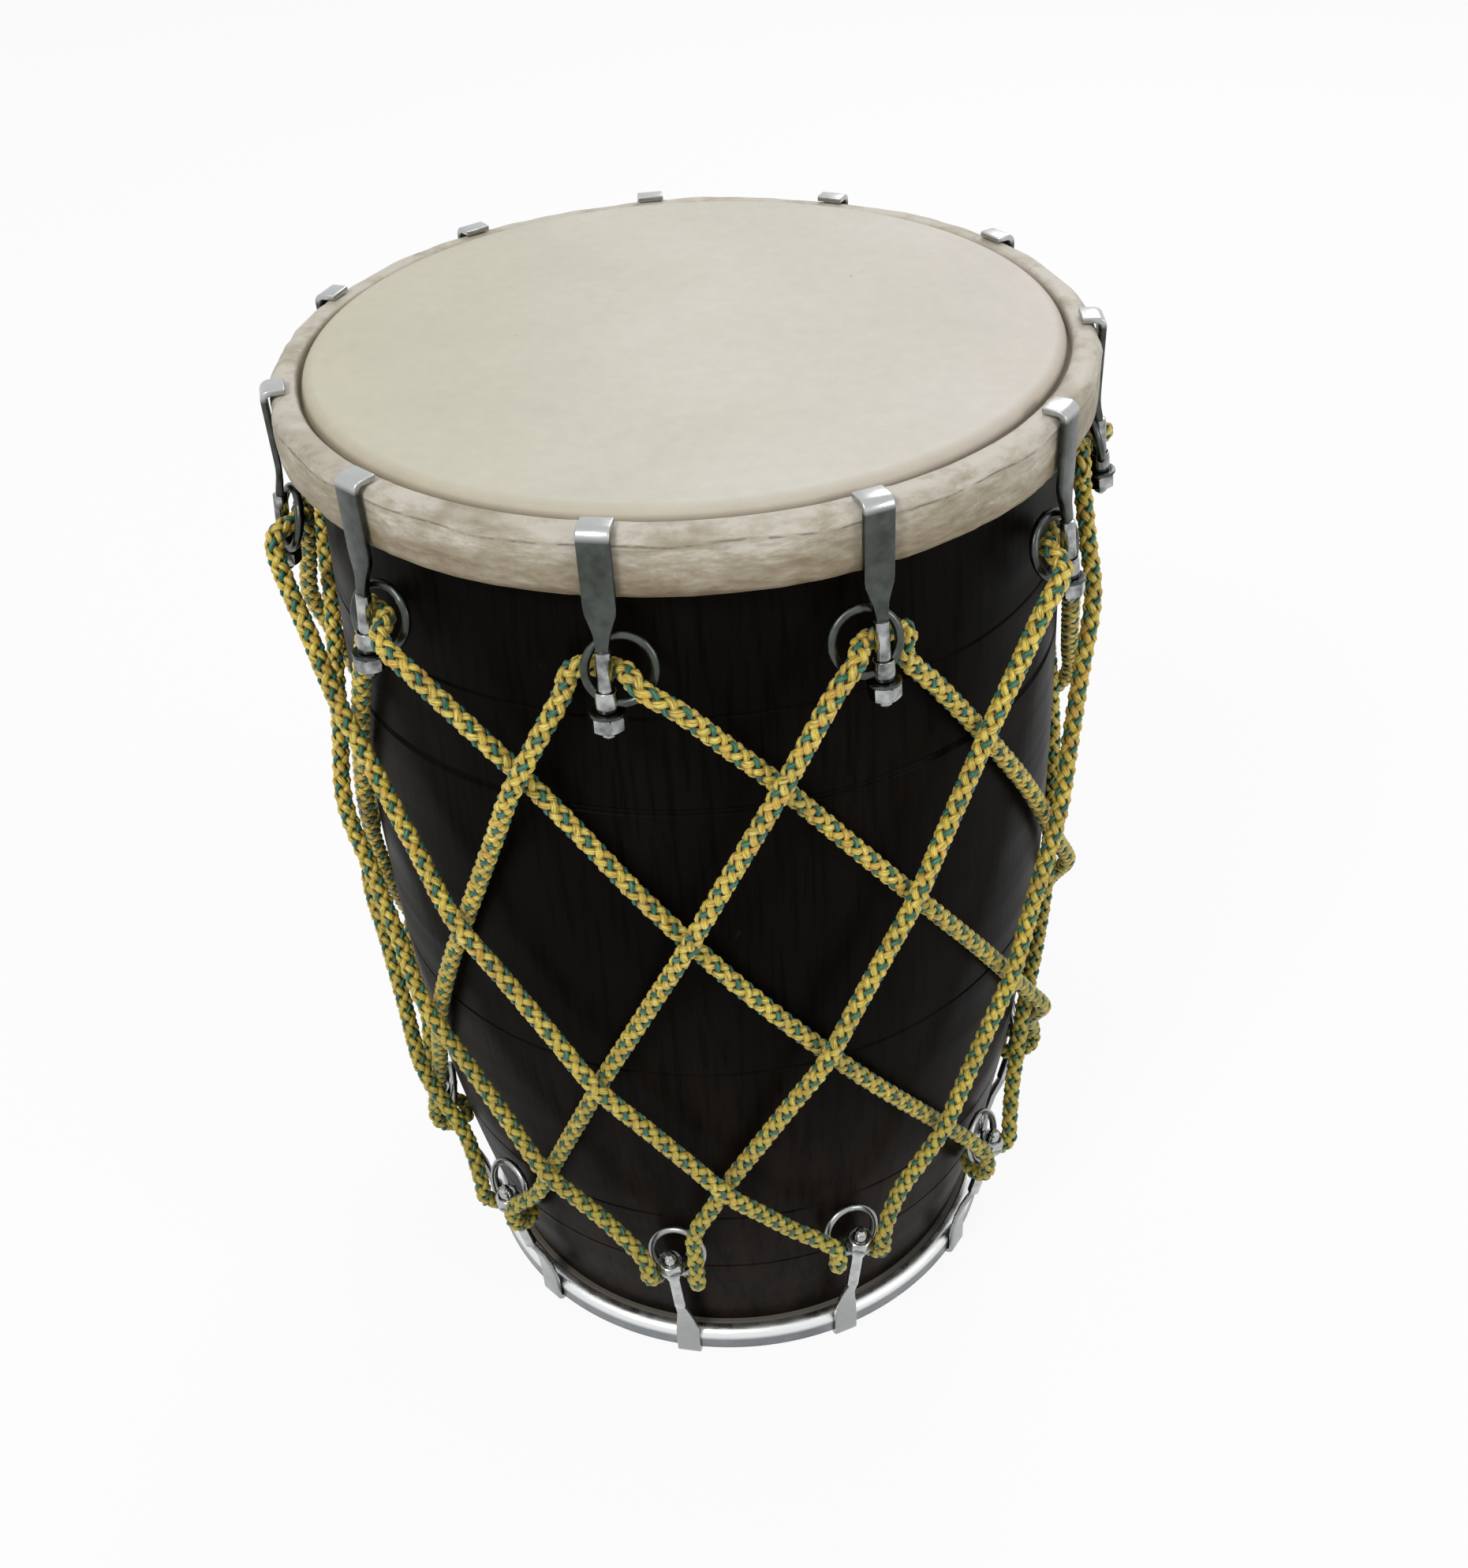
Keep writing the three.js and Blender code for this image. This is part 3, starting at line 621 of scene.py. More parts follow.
def goat_hide():
    """Goat hide, scraped, soaked, stretched and dried. It is matt and a little waxy, ivory with grey, pink
    and tan clouds, fine hair pits, and browner where it is folded, handled or tucked into the groove. The
    dark of the groove and of the rounded edge is partly painted shade, the wrapped hoop's darker foot and the
    lower bead are painted shade, and the pale patches high on the hoop are partly painted highlight."""
    h = heads()
    material, tree = new_material("goat_hide")
    place = add(tree, "TexCoord", out="Object")
    x, y, height = add(tree, "SeparateXYZ", place).node.outputs
    flat = add(tree, "CombineXYZ", x, y)
    radius = add(tree, "VectorMath", flat, out="Value", operation="LENGTH")
    cloud = add(tree, "TexNoise", place, Scale=7, Detail=5, Roughness=0.55, Distortion=0.3)
    ivory = add(tree, "ValToRGB", cloud, stops=(
        (0.25, "#c6c0b0"), (0.45, "#cbc7ba"), (0.55, h.ivory), (0.78, "#d5d2c9")))
    # The hide is yellower and a little darker over the left, and greyer over the right
    across = add(tree, "MapRange", x, -0.15, 0.15)
    across = add(tree, "ValToRGB", across, stops=((0, "#f6f5e9"), (0.5, "#fffffc"), (1, "#fefafc")))
    flecked = patches(tree, place, 120, 5, 0.3, 0.7, 0.95, 1.03, Roughness=0.7)
    # A few dark hair roots are left, about 40 mm apart
    roots = add(tree, "TexVoronoi", flat, Scale=26, Randomness=1.0)
    roots = add(tree, "MapRange", roots, 0.014, 0.03, 0.45, 1)
    ivory = row(tree, SHADE, ivory, (across,), (flecked,), (roots,))
    # Tan streaks in the wrapped hoop follow its turn, as the folds of the hide do
    wrap = add(tree, "Mapping", place, Scale=(1, 1, 3.2))
    smear = add(tree, "TexNoise", wrap, Scale=38, Detail=6, Roughness=0.62, Distortion=0.5)
    smeared = add(tree, "MapRange", smear, 0.47, 0.66, 0, 0.28)
    rim_start, rim_end, hoop_start, tuck_radius = 0.1505, 0.1555, 0.159, 0.1568
    on_hoop = add(tree, "MapRange", radius, rim_end, hoop_start)
    # The rounded edge of the playing surface is tan, partly the hide's own colour and partly painted shade
    # where it turns down
    rim = add(tree, "MapRange", radius, rim_start, rim_end, 0, 0.34)
    below = add(tree, "MapRange", height, 0.487, 0.474, 0, 0.2)
    stain_and_rim_shade = add(tree, "Math", smeared, below, operation="ADD")
    stain_and_rim_shade = add(tree, "Math", stain_and_rim_shade, on_hoop, operation="MULTIPLY")
    stain_and_rim_shade = add(tree, "Math", stain_and_rim_shade, rim, operation="MAXIMUM", use_clamp=True)
    # The wrapped hide is greyer than the playing surface, and darker towards the hoop's foot as painted shade
    small = add(tree, "TexNoise", wrap, Scale=130, Detail=5, Roughness=0.65)
    blotch = add(tree, "Mix", 0.42, at={2: smear, 3: small})
    uneven = add(tree, "Math", blotch, 0.5, operation="SUBTRACT")
    tone = add(tree, "Math", uneven, 2.4, add(tree, "MapRange", height, 0.468, 0.5),
               operation="MULTIPLY_ADD")
    wrapped = add(tree, "ValToRGB", tone, stops=(
        (0, "#544d3e"), (0.25, "#7b7463"), (0.55, "#a09c8e"), (0.75, "#bbb8ac"), (0.97, "#d6d4cc")))
    # Hair side shows as brown patches low on the hoop, and scraped fat as pale patches on the upper half,
    # partly painted highlight where the hoop faces up
    brown_patch = patches(tree, wrap, 11, 4, 0.5, 0.64, 0, 0.55, Roughness=0.6, Distortion=0.6)
    pale_patch_and_highlight = add(tree, "Math", add(tree, "MapRange", blotch, 0.54, 0.63, 0, 0.6),
                      add(tree, "MapRange", height, 0.481, 0.492), operation="MULTIPLY")
    wrapped = row(tree, OVERLAY, wrapped, (brown_patch, "#6d6450"), (pale_patch_and_highlight, "#dcdad3"))
    # The tuck between playing surface and hoop holds dirt, and its dark brown is partly painted shade in the
    # recess
    tuck_dirt_and_shade = line_at(tree, radius, tuck_radius, 0.0019, 0.0005, 0.5)
    # The lapped edge of the wrapping shows as a broken brown line that wanders up and down
    wander = add(tree, "TexNoise", flat, Scale=16, Detail=2)
    edge = add(tree, "Math", wander, -0.007, 0.4966, operation="MULTIPLY_ADD")
    broken = add(tree, "Math", add(tree, "MapRange", small, 0.42, 0.55), on_hoop, operation="MULTIPLY")
    lap = add(tree, "Math", line_at(tree, height, edge, 0.0008, 0.0001, 0.75), broken,
              operation="MULTIPLY")
    # The lower hide's bead, down in the steel hoop's rebate, is painted dark brown as painted shade
    painted_bead_shade = add(tree, "Math", add(tree, "MapRange", height, 0.03, 0.02, 0, 0.85),
                add(tree, "MapRange", radius, 0.124, 0.132), operation="MULTIPLY")
    hide = row(tree, OVERLAY, ivory, (on_hoop, wrapped), (stain_and_rim_shade, h.tan), (tuck_dirt_and_shade, "#4b3a29"),
               (lap, "#5b4c39"), (painted_bead_shade, "#3c342a"))
    # Hair pits are about 0.8 mm apart, and shallow creases about 6 mm
    pits = add(tree, "TexVoronoi", place, Scale=1200)
    crease = add(tree, "TexNoise", place, Scale=170, Detail=5, Roughness=0.6)
    return surfaced(material, add(
        tree, "BsdfPrincipled", Base_Color=hide, Roughness=0.58, IOR=1.45, Subsurface_Weight=0.06,
        Subsurface_Radius=(0.004, 0.002, 0.001),
        Normal=row(tree, RELIEF, None, (pits, 0.25, 0.0001), (crease, 0.35, 0.0004))))


def plated(name, base, darkest, smoothest, roughest):
    """Zinc plate with a faint spangle and patches of darker tone, painted highlights on the bends over the
    upper hoop and a lighter colour on the lower hooks.
    """
    material, tree = new_material(name)
    place = add(tree, "TexCoord", out="Object")
    height = add(tree, "SeparateXYZ", place, out="Z")
    # Patches of darker tone; on the bright plate they go dark enough to make painted dark patches between
    # painted glints
    tone = patches(tree, place, 150, 4, 0.35, 0.65, darkest, 1.2)
    # Bends over the upper hoop get a painted highlight, and the plate is painted lighter from 200 mm down to
    # the lower hooks
    painted_bend_highlight_and_lighter_low = add(tree, "Math", add(tree, "MapRange", height, 0.4962, 0.4984, 0, 0.85),
                 add(tree, "MapRange", height, 0.2, 0.12, 0, 0.6), operation="MAXIMUM")
    spangle = add(tree, "TexNoise", place, Scale=260, Detail=4)
    return surfaced(material, add(
        tree, "BsdfPrincipled", Metallic=1.0,
        Base_Color=row(tree, OVERLAY, row(tree, SHADE, base, (tone,)), (painted_bend_highlight_and_lighter_low, "#bfc2c1")),
        Roughness=add(tree, "MapRange", spangle, 0.3, 0.7, smoothest, roughest),
        Normal=add(tree, "Bump", Height=spangle, Strength=0.22, Distance=0.0002)))


def zinc_plated_steel():
    """Zinc plate on pressed mild steel, satin on the straps' flats. Its dark grey colour is a painted dark
    reflection, and a strap's bend over its hoop gets a painted highlight line."""
    return plated("zinc_plated_steel", hardware().plate, 0.7, 0.22, 0.36)


def plate_with_painted_glints():
    """Zinc plate on rods, lugs and nuts, in a brighter colour than the straps' as a painted reflection. Its
    strong tone patches give small, almost white painted glints between dark painted patches."""
    return plated("plate_with_painted_glints", hardware().polished, 0.3, 0.12, 0.24)


def bright_rolled_steel():
    """Bright rolled bar, bent to a hoop and left bare. Fine level scratches run round it, and it has grey
    handling marks and a few rust freckles."""
    material, tree = new_material("bright_rolled_steel")
    place = add(tree, "TexCoord", out="Object")
    level = add(tree, "Mapping", place, Scale=(0.05, 0.05, 1))
    scratch = add(tree, "TexNoise", level, Scale=2600, Detail=3)
    marks = patches(tree, place, 45, 4, 0.35, 0.65, 0.75, 1.08)
    rusty = patches(tree, place, 420, 4, 0.68, 0.76, 0, 0.6)
    # The top edge is painted near white as a painted highlight
    painted_top_highlight = add(tree, "MapRange", add(tree, "SeparateXYZ", place, out="Z"), 0.0095, 0.0115)
    steel = row(tree, SHADE, hardware().hoop_steel, (marks,))
    return surfaced(material, add(
        tree, "BsdfPrincipled", Metallic=1.0,
        Base_Color=row(tree, OVERLAY, steel, (rusty, "#5d4a3c"), (painted_top_highlight, "#e4e6e6")),
        Roughness=add(tree, "MapRange", scratch, 0.3, 0.7, 0.22, 0.42),
        Normal=add(tree, "Bump", Height=scratch, Strength=0.2, Distance=0.00008)))


def polypropylene(name, fibre_colour, dark, light, aged, olive):
    """Split-film polypropylene, twisted into a strand. It has a plastic sheen broken by fine slanting
    fibres, with painted highlights on the lightest, and the hollows between the strands are darkened as
    painted shade."""
    material, tree = new_material(name)
    along = add(tree, "UVMap", uv_map="lay")
    outward = add(tree, "Attribute", out="Fac", attribute_name="outward")
    place = add(tree, "TexCoord", out="Object")
    height = add(tree, "SeparateXYZ", place, out="Z")
    # Fibres are drawn 0.45 mm apart, a little coarser than the real ones, so that they show
    slanted = add(tree, "Mapping", along, Rotation=(0, 0, 0.42), Scale=(1.0, 0.16, 1))
    fibre = add(tree, "TexNoise", slanted, Scale=2200, Detail=3)
    # The fibres' ramp runs from a dark to a light tone, and the light end is partly painted highlight
    tint = add(tree, "ValToRGB", fibre, stops=((0.3, dark), (0.48, fibre_colour), (0.68, light)))
    # Handled stretches are more orange, and the lower ones more olive
    handled = patches(tree, place, 130, 3, 0.5, 0.68, 0, 0.5)
    lower_olive = add(tree, "MapRange", height, 0.34, 0.12, 0, 0.6)
    faded = patches(tree, place, 55, 3, 0.35, 0.65, 0.82, 1.1)
    # The hollows between the strands are darkened as painted shade
    painted_hollow_shade = add(tree, "MapRange", outward, 0.22, 0.92, 0.06, 1.1, interpolation_type="SMOOTHSTEP")
    tint = row(tree, OVERLAY, tint, (handled, aged), (lower_olive, olive))
    tint = row(tree, SHADE, tint, (faded,), (painted_hollow_shade,))
    return surfaced(material, add(
        tree, "BsdfPrincipled", Base_Color=tint, Roughness=0.42, IOR=1.49, Sheen_Weight=0.15,
        Normal=add(tree, "Bump", Height=fibre, Strength=0.5, Distance=0.00025)))


def seen_plainly(tree):
    """1 for the camera and for what shines or shows through, and 0 for the light that shades things."""
    ray = add(tree, "LightPath").node.outputs
    seen = add(tree, "Math", ray["Is Camera Ray"], ray["Is Glossy Ray"], operation="MAXIMUM")
    return add(tree, "Math", seen, ray["Is Transmission Ray"], operation="MAXIMUM")


def studio_floor():
    """A pale matt floor. The camera and the metal see it as almost white, and it keeps the drum's shadow."""
    material, tree = new_material("studio_floor")
    matt = add(tree, "BsdfPrincipled", Base_Color=view().floor, Roughness=0.9)
    white = add(tree, "Emission", "#ffffff", 1.0)
    share = add(tree, "Math", seen_plainly(tree), 0.9, operation="MULTIPLY")
    above = add(tree, "MixShader", share, matt, white)
    # A camera under the floor sees through it, so that the lower head can be looked at
    under = add(tree, "Math", add(tree, "LightPath", out="Is Camera Ray"),
                add(tree, "NewGeometry", out="Backfacing"), operation="MULTIPLY")
    return surfaced(material, add(tree, "MixShader", under, above, add(tree, "BsdfTransparent")))


# Operators

class DholStage(bpy.types.Operator):
    """Adds the camera, the floor and the studio light"""
    bl_idname = "dhol.stage"
    bl_label = "Stage and camera"

    def execute(self, context):
        self.add_camera(context.scene)
        start()
        bpy.ops.mesh.primitive_plane_add(size=FLOOR_SIZE)
        floor = named("floor")
        paint(floor, studio_floor())
        self.add_world(context.scene)
        for name, at, aim, size, power in LAMPS:
            data = bpy.data.lights.new(name, "AREA")
            data.shape = "DISK"
            data.size = size
            data.energy = power
            lamp = bpy.data.objects.new(name, data)
            lamp.location = at
            lamp.rotation_euler = (Vector(aim) - Vector(at)).to_track_quat("-Z", "Y").to_euler()
            context.scene.collection.objects.link(lamp)
        return {"FINISHED"}

    def add_camera(self, scene):
        """The camera of the photograph, from its fitted elevation, yaw, tilt and roll."""
        v = view()
        camera = bpy.data.cameras.new("camera")
        camera.sensor_fit = "VERTICAL"
        camera.sensor_height = SENSOR_HEIGHT
        camera.lens = SENSOR_HEIGHT * v.focal_px / v.photo_height_px
        camera.clip_end = CLIP_END
        holder = bpy.data.objects.new("camera", camera)
        scene.collection.objects.link(holder)
        c, s = math.cos(v.elevation), math.sin(v.elevation)
        axes = Matrix(((1, 0, 0), (0, s, c), (0, c, -s)))
        yaw = Matrix.Rotation(-v.yaw, 3, "Y")
        right, up, ahead = (Matrix.Rotation(v.roll, 3, "Z") @ Matrix.Rotation(v.tilt, 3, "X") @ yaw @ axes)
        place = Vector((0, -v.distance * c, v.aim_height + v.distance * s))
        turn = Matrix((right, up, -ahead)).transposed()
        holder.matrix_world = Matrix.Translation(place) @ turn.to_4x4()
        scene.camera = holder
        scene.view_settings.view_transform = "Standard"

    def add_world(self, scene):
        """Soft light for shading, and plain white for the camera and for reflections."""
        world = bpy.data.worlds.new("studio")
        scene.world = world
        world.use_nodes = True
        tree = world.node_tree
        tree.nodes.clear()
        light = add(tree, "Background", "#eef1f5", 0.55)
        white = add(tree, "Background", "#ffffff", 1.0)
        add(tree, "OutputWorld", add(tree, "MixShader", seen_plainly(tree), light, white))


class DholShell(bpy.types.Operator):
    """Turns the barrel shell, with its line grooves"""
    bl_idname = "dhol.shell"
    bl_label = "Shell"

    def execute(self, context):
        s = shell()
        low, high = s.foot + s.edge, s.top - s.edge
        cuts = {low + (high - low) * i / 64: 0 for i in range(65)}
        for middle in GROOVES:
            cuts = {z: cut for z, cut in cuts.items() if abs(z - middle * MM) > GROOVE_CLEAR}
            for offset, share in GROOVE_SECTION:
                cuts[(middle + offset) * MM] = share * s.groove
        outside = [(shell_radius(z) - cut, z) for z, cut in sorted(cuts.items())]
        bottom = shell_radius(s.foot)
        foot = [(bottom - s.edge, s.foot), (bottom - s.edge / 3, s.foot + s.edge / 4)]
        rim = [(s.top_radius - s.edge / 4, s.top - s.edge / 2), (s.top_radius - s.edge, s.top)]
        inside = [(shell_radius(z) - s.wall, z) for z in (high - (high - low) * i / 24 for i in range(25))]
        piece = turned("turned_shell", closed(foot + outside + rim + inside), 192)
        smooth(piece, 30)
        finish(piece, "drum", "lacquered_wood", lacquered_mango_wood(), "shell")
        return {"FINISHED"}


def head_bump(x, y, z, scale):
    return noise.noise(Vector((x, y, z)) * scale)


def clamped(value):
    return min(1.0, max(0.0, value))


class DholTopHead(bpy.types.Operator):
    """Stretches the upper hide over the shell and laps it round its hoop"""
    bl_idname = "dhol.top_head"
    bl_label = "Upper head and wrapped hoop"

    def execute(self, context):
        s, h = shell(), heads()
        play = s.top + GAP + h.hide
        top, foot = hoop_top(), hoop_top() - h.hoop_height
        inner, outer = hoop_inner(), hoop_outer()
        edge = s.top_radius + GAP + h.hide
        flat = [(NEAR_AXIS, play)] + [(PLAYING_FLAT * i / 24, play) for i in range(1, 25)]
        lip = [(edge - h.edge * (1 - math.sin(a)), play - h.edge * (1 - math.cos(a)))
               for a in quarter(10, 1)]
        tuck = [(edge + 0.25 * h.groove_width, play - h.edge - 0.9 * MM),
                (edge + 0.6 * h.groove_width, play - h.edge - 1.2 * MM),
                (inner - 0.1 * MM, play - h.edge - 0.4 * MM)]
        # The wrapped hoop's section: a steep inner shoulder, a rounder outer one, a side and a rolled foot
        inner_shoulder, outer_shoulder, crown_drop, foot_roll = 4 * MM, 5 * MM, 6 * MM, 7 * MM
        crown = [(inner + 0.8 * inner_shoulder * (1 - math.cos(a)),
                  top - 0.9 * inner_shoulder * (1 - math.sin(a))) for a in quarter(9, 1)]
        crown += [(outer - outer_shoulder * (1 - math.sin(a)), top - crown_drop * (1 - math.cos(a)))
                  for a in quarter(10)[:-1]]
        straight = h.hoop_height - crown_drop - foot_roll
        side = [(outer, top - crown_drop - straight * i / 16) for i in range(17)]
        under = [(outer - crown_drop * (1 - math.cos(a)), foot + foot_roll * (1 - math.sin(a)))
                 for a in quarter(10, 1)]
        wall = [(shell_radius(foot) + GAP + h.hide * 0.5, foot),
                (shell_radius(foot) + GAP, foot + 0.8 * MM),
                (s.top_radius + GAP, s.top - s.edge), (s.top_radius + GAP - s.edge / 2, s.top),
                (s.top_radius - s.edge, s.top + GAP), (NEAR_AXIS, s.top + GAP)]
        piece = turned("playing_hide", flat + lip + tuck + crown + side + under + wall, 384)
        self.make_uneven(piece, play, top, foot, inner, outer)
        smooth(piece, 60)
        finish(piece, "drum", "hide", shared(goat_hide), "top_head")
        return {"FINISHED"}

    def from_hook(self, angle):
        """How far an angle lies from the nearest upper hook's."""
        return min(abs((angle - hook_angle(k, TOP_SHIFTS) + math.pi) % (2 * math.pi) - math.pi)
                   for k in range(HOOK_COUNT))

    def make_uneven(self, piece, play, top, foot, inner, outer):
        """Moves the skin as wet hide dries: lumps over the hoop's filling, a lapped edge and short pleats.
        The hide is pulled flat under each hook and swells between them, with a crease beside the strap."""
        h = heads()
        co = np.empty(len(piece.data.vertices) * 3)
        piece.data.vertices.foreach_get("co", co)
        co = co.reshape(-1, 3)
        moved = co.copy()
        hoop_start, under_start = inner - 1.0 * MM, outer - 7 * MM
        strap_reach, free_reach = 6 * MM, 14 * MM
        for i, (x, y, z) in enumerate(co):
            r = math.hypot(x, y)
            if r < hoop_start or z < foot + 0.2 * MM and r < under_start:
                if z > play - 0.2 * MM and r < PLAYING_RADIUS:
                    moved[i, 2] -= HOLLOW * (0.5 + head_bump(x, y, 0, 16))
                continue
            angle = math.atan2(x, -y)
            along = angle * outer
            lump = h.lumps * (head_bump(x, y, z * 0.7, 42) + 0.5 * head_bump(x, y, z, 95))
            pleat = head_bump(along * 240, z * 20, 3, 1) * head_bump(along * 22, z * 30, 9, 1)
            lap = top - 5.2 * MM + 1.3 * MM * head_bump(x * 14, y * 14, 5, 1)
            step = 0.44 * MM / (1 + math.exp(-(z - lap) / (0.28 * MM)))
            fade = clamped((r - hoop_start) / (3 * MM))
            aside = self.from_hook(angle) * outer
            free = clamped((aside - strap_reach) / free_reach)
            free = free * free * (3 - 2 * free)
            swell = h.bulge * max(0.0, 1 - ((z - (top + foot) / 2) / (0.5 * h.hoop_height)) ** 2)
            beside = math.exp(-((aside - 8.5 * MM) / (1.6 * MM)) ** 2)
            crease = 0.6 * MM * beside * (0.5 + 0.5 * math.sin(z * 700 + along * 60))
            push = fade * (lump * (0.4 + 0.6 * free) + 0.9 * MM * pleat + step - 0.8 * MM + swell * free
                           - crease)
            if aside < strap_reach + MM:
                push = min(push, 0)
            moved[i, 0] += x / r * push
            moved[i, 1] += y / r * push
            if z > top - 4 * MM:
                moved[i, 2] += fade * (0.5 * lump + 0.4 * MM * pleat - 0.35 * MM)
        piece.data.vertices.foreach_set("co", moved.ravel())
        piece.data.update()


class DholBottomHead(bpy.types.Operator):
    """Stretches the lower hide under the shell, with its bead on the steel hoop"""
    bl_idname = "dhol.bottom_head"
    bl_label = "Lower head"

    def execute(self, context):
        s, h = shell(), heads()
        step = steel_hoop_foot() + STEEL_HOOP_HEIGHT - REBATE_DEPTH + GAP
        under = s.foot - GAP - h.hide
        wall = steel_hoop_inner() - GAP
        bead = steel_hoop_inner() + REBATE_WIDTH - GAP
        edge = shell_radius(s.foot) + GAP + h.hide
        wood = shell_radius(step) + GAP
        outline = [(NEAR_AXIS, under)] + [(LOWER_FLAT * i / 12, under) for i in range(1, 13)]
        outline += [(edge - s.edge * (1 - math.sin(a)), under + s.edge * (1 - math.cos(a)))
                    for a in quarter(6)]
        outline += [(wall, step), (bead - 0.6 * MM, step), (bead, step + 0.6 * MM),
                    (bead, step + 2.3 * MM), (bead - 0.9 * MM, step + 3.4 * MM),
                    (wood + 1.3 * MM, step + 3.5 * MM), (wood + 0.3 * MM, step + 3.0 * MM), (wood, step),
                    (shell_radius(s.foot + s.edge) + GAP, s.foot + s.edge),
                    (shell_radius(s.foot) + GAP - s.edge, s.foot - GAP), (NEAR_AXIS, s.foot - GAP)]
        piece = turned("lower_hide", outline, 192)
        smooth(piece, 50)
        finish(piece, "drum", "hide", shared(goat_hide), "bottom_head")
        return {"FINISHED"}


class DholSteelHoop(bpy.types.Operator):
    """Rolls the bright steel hoop of the lower head"""
    bl_idname = "dhol.steel_hoop"
    bl_label = "Steel hoop"

    def execute(self, context):
        inner, foot = steel_hoop_inner(), steel_hoop_foot()
        outer, high = inner + STEEL_HOOP_WIDTH, foot + STEEL_HOOP_HEIGHT
        rebate = inner + REBATE_WIDTH
        shoulder = 5 * MM
        outline = rounded([(inner, high - REBATE_DEPTH), (inner, foot), (outer, foot)], 0.6 * MM)
        outline += [(outer - shoulder * (1 - math.cos(a)), high - shoulder * (1 - math.sin(a)))
                    for a in quarter(9)]
        outline += [(rebate, high), (rebate, high - REBATE_DEPTH)]
        piece = turned("rolled_hoop", closed(outline), 192)
        smooth(piece, 40)
        finish(piece, "drum", "hoop_steel", bright_rolled_steel(), "bottom_hoop")
        return {"FINISHED"}


def hook_pattern(name, up, reach, lip_height, strap_end, neck_height, axis, tip):
    """A hook modelled at the front: a strap bent over its hoop, drawn down to a neck, and its rod.
    up is 1 where the strap runs up from its lip, at the lower hooks, and -1 where it runs down."""
    w = hardware()
    width, thick, bend = w.strap_width, w.strap_thickness, w.bend
    start()
    bpy.ops.mesh.primitive_cube_add(size=1)
    piece = named(name)
    edit(piece)
    bpy.ops.mesh.select_all(action="SELECT")
    lip = w.lip - bend
    bpy.ops.transform.resize(value=(width, lip, thick), center_override=(0, 0, 0))
    bpy.ops.transform.translate(value=(0, -(reach - bend - lip / 2), lip_height))
    select_faces(piece, lambda normal: normal.y < -0.9)
    turns = quarter(7)
    for a, b in zip(turns, turns[1:]):
        move = (0, -bend * (math.sin(b) - math.sin(a)), up * bend * (math.cos(a) - math.cos(b)))
        bpy.ops.mesh.extrude_region_move(TRANSFORM_OT_translate={"value": move})
        turn_end(piece, up * (a - b))
    # Stations down the strap: height, radius of its middle, width and thickness
    neck_start = neck_height - up * 1.5 * MM
    stations = [(strap_end * (1 - t) + neck_start * t, reach + t * t * (axis(neck_start) - reach), wide, deep)
                for t, wide, deep in STRAP_TAPER]
    neck_end = neck_height + up * 3 * MM
    stations.append((neck_end, axis(neck_end), 0.40, 1.3))
    wide = deep = 1
    for z, radius, next_wide, next_deep in stations:
        extrude(Vector((0, -radius, z)) - end_middle(piece), (next_wide / wide, next_deep / deep, 1),
                (0, -radius, z))
        wide, deep = next_wide, next_deep
    apply_bevel(piece, 0.55 * MM, 3, 50)
    rod = rod_pattern(name + "_rod", axis, neck_height + up * 0.3 * MM, tip)
    paint(piece, shared(zinc_plated_steel))
    paint(rod, shared(plate_with_painted_glints))
    return joined([piece, rod])


def end_middle(piece):
    """In edit mode, the middle of the selected end."""
    chosen = [vertex.co for vertex in bmesh.from_edit_mesh(piece.data).verts if vertex.select]
    return sum(chosen, Vector()) / len(chosen)


def turn_end(piece, angle):
    """Turns the selected end about the level axis through its middle."""
    middle = end_middle(piece)
    mesh = bmesh.from_edit_mesh(piece.data)
    turn = Matrix.Rotation(angle, 3, "X")
    for vertex in mesh.verts:
        if vertex.select:
            vertex.co = middle + turn @ (vertex.co - middle)
    bmesh.update_edit_mesh(piece.data)


def rod_pattern(name, axis, root, tip):
    """A rod from its root to a pointed tip, with a rolled thread on its last 17 mm."""
    w = hardware()
    a, b = Vector((0, -axis(root), root)), Vector((0, -axis(tip), tip))
    span = (b - a).length
    radius, pitch = w.rod / 2, w.thread
    thread_start = span - THREADED
    start()
    share, core, z = 0.7, 0.86, 0.0
    bpy.ops.mesh.primitive_circle_add(vertices=28, radius=radius * share, fill_type="NGON")
    piece = named(name)
    edit(piece)
    bpy.ops.mesh.select_all(action="SELECT")
    for next_z, next_share in ((0.5 * MM, 1.0), (thread_start - 0.4 * MM, 1.0), (thread_start, core),
                               (span - 1.4 * MM, core), (span, 0.45)):
        growth = next_share / share
        extrude((0, 0, next_z - z), (growth, growth, 1), (0, 0, next_z))
        z, share = next_z, next_share
    start()
    # The thread is one triangular tooth swept as a screw
    bpy.ops.mesh.primitive_circle_add(vertices=3, radius=1)
    tooth = named(name + "_thread")
    inner = radius * 0.84
    corners = ((inner, 0), (radius, 0.42 * pitch), (inner, 0.84 * pitch))
    for vertex, (out, rise) in zip(tooth.data.vertices, corners):
        vertex.co = (out, 0, thread_start + rise)
    turns = int((THREADED - 2.2 * MM) / pitch)
    apply_modifier(tooth, "SCREW", angle=2 * math.pi, screw_offset=pitch, iterations=turns, steps=24,
                   render_steps=24, use_merge_vertices=True, merge_threshold=MERGE_DISTANCE)
    close_up(tooth)
    whole = joined([piece, tooth])
    whole.data.transform(Matrix.Translation(a) @ (b - a).to_track_quat("Z", "X").to_matrix().to_4x4())
    return whole


def around(shifts):
    """The turn about the drum's axis that takes a piece from the front to hook k."""
    return lambda k: Matrix.Rotation(hook_angle(k, shifts), 4, "Z")


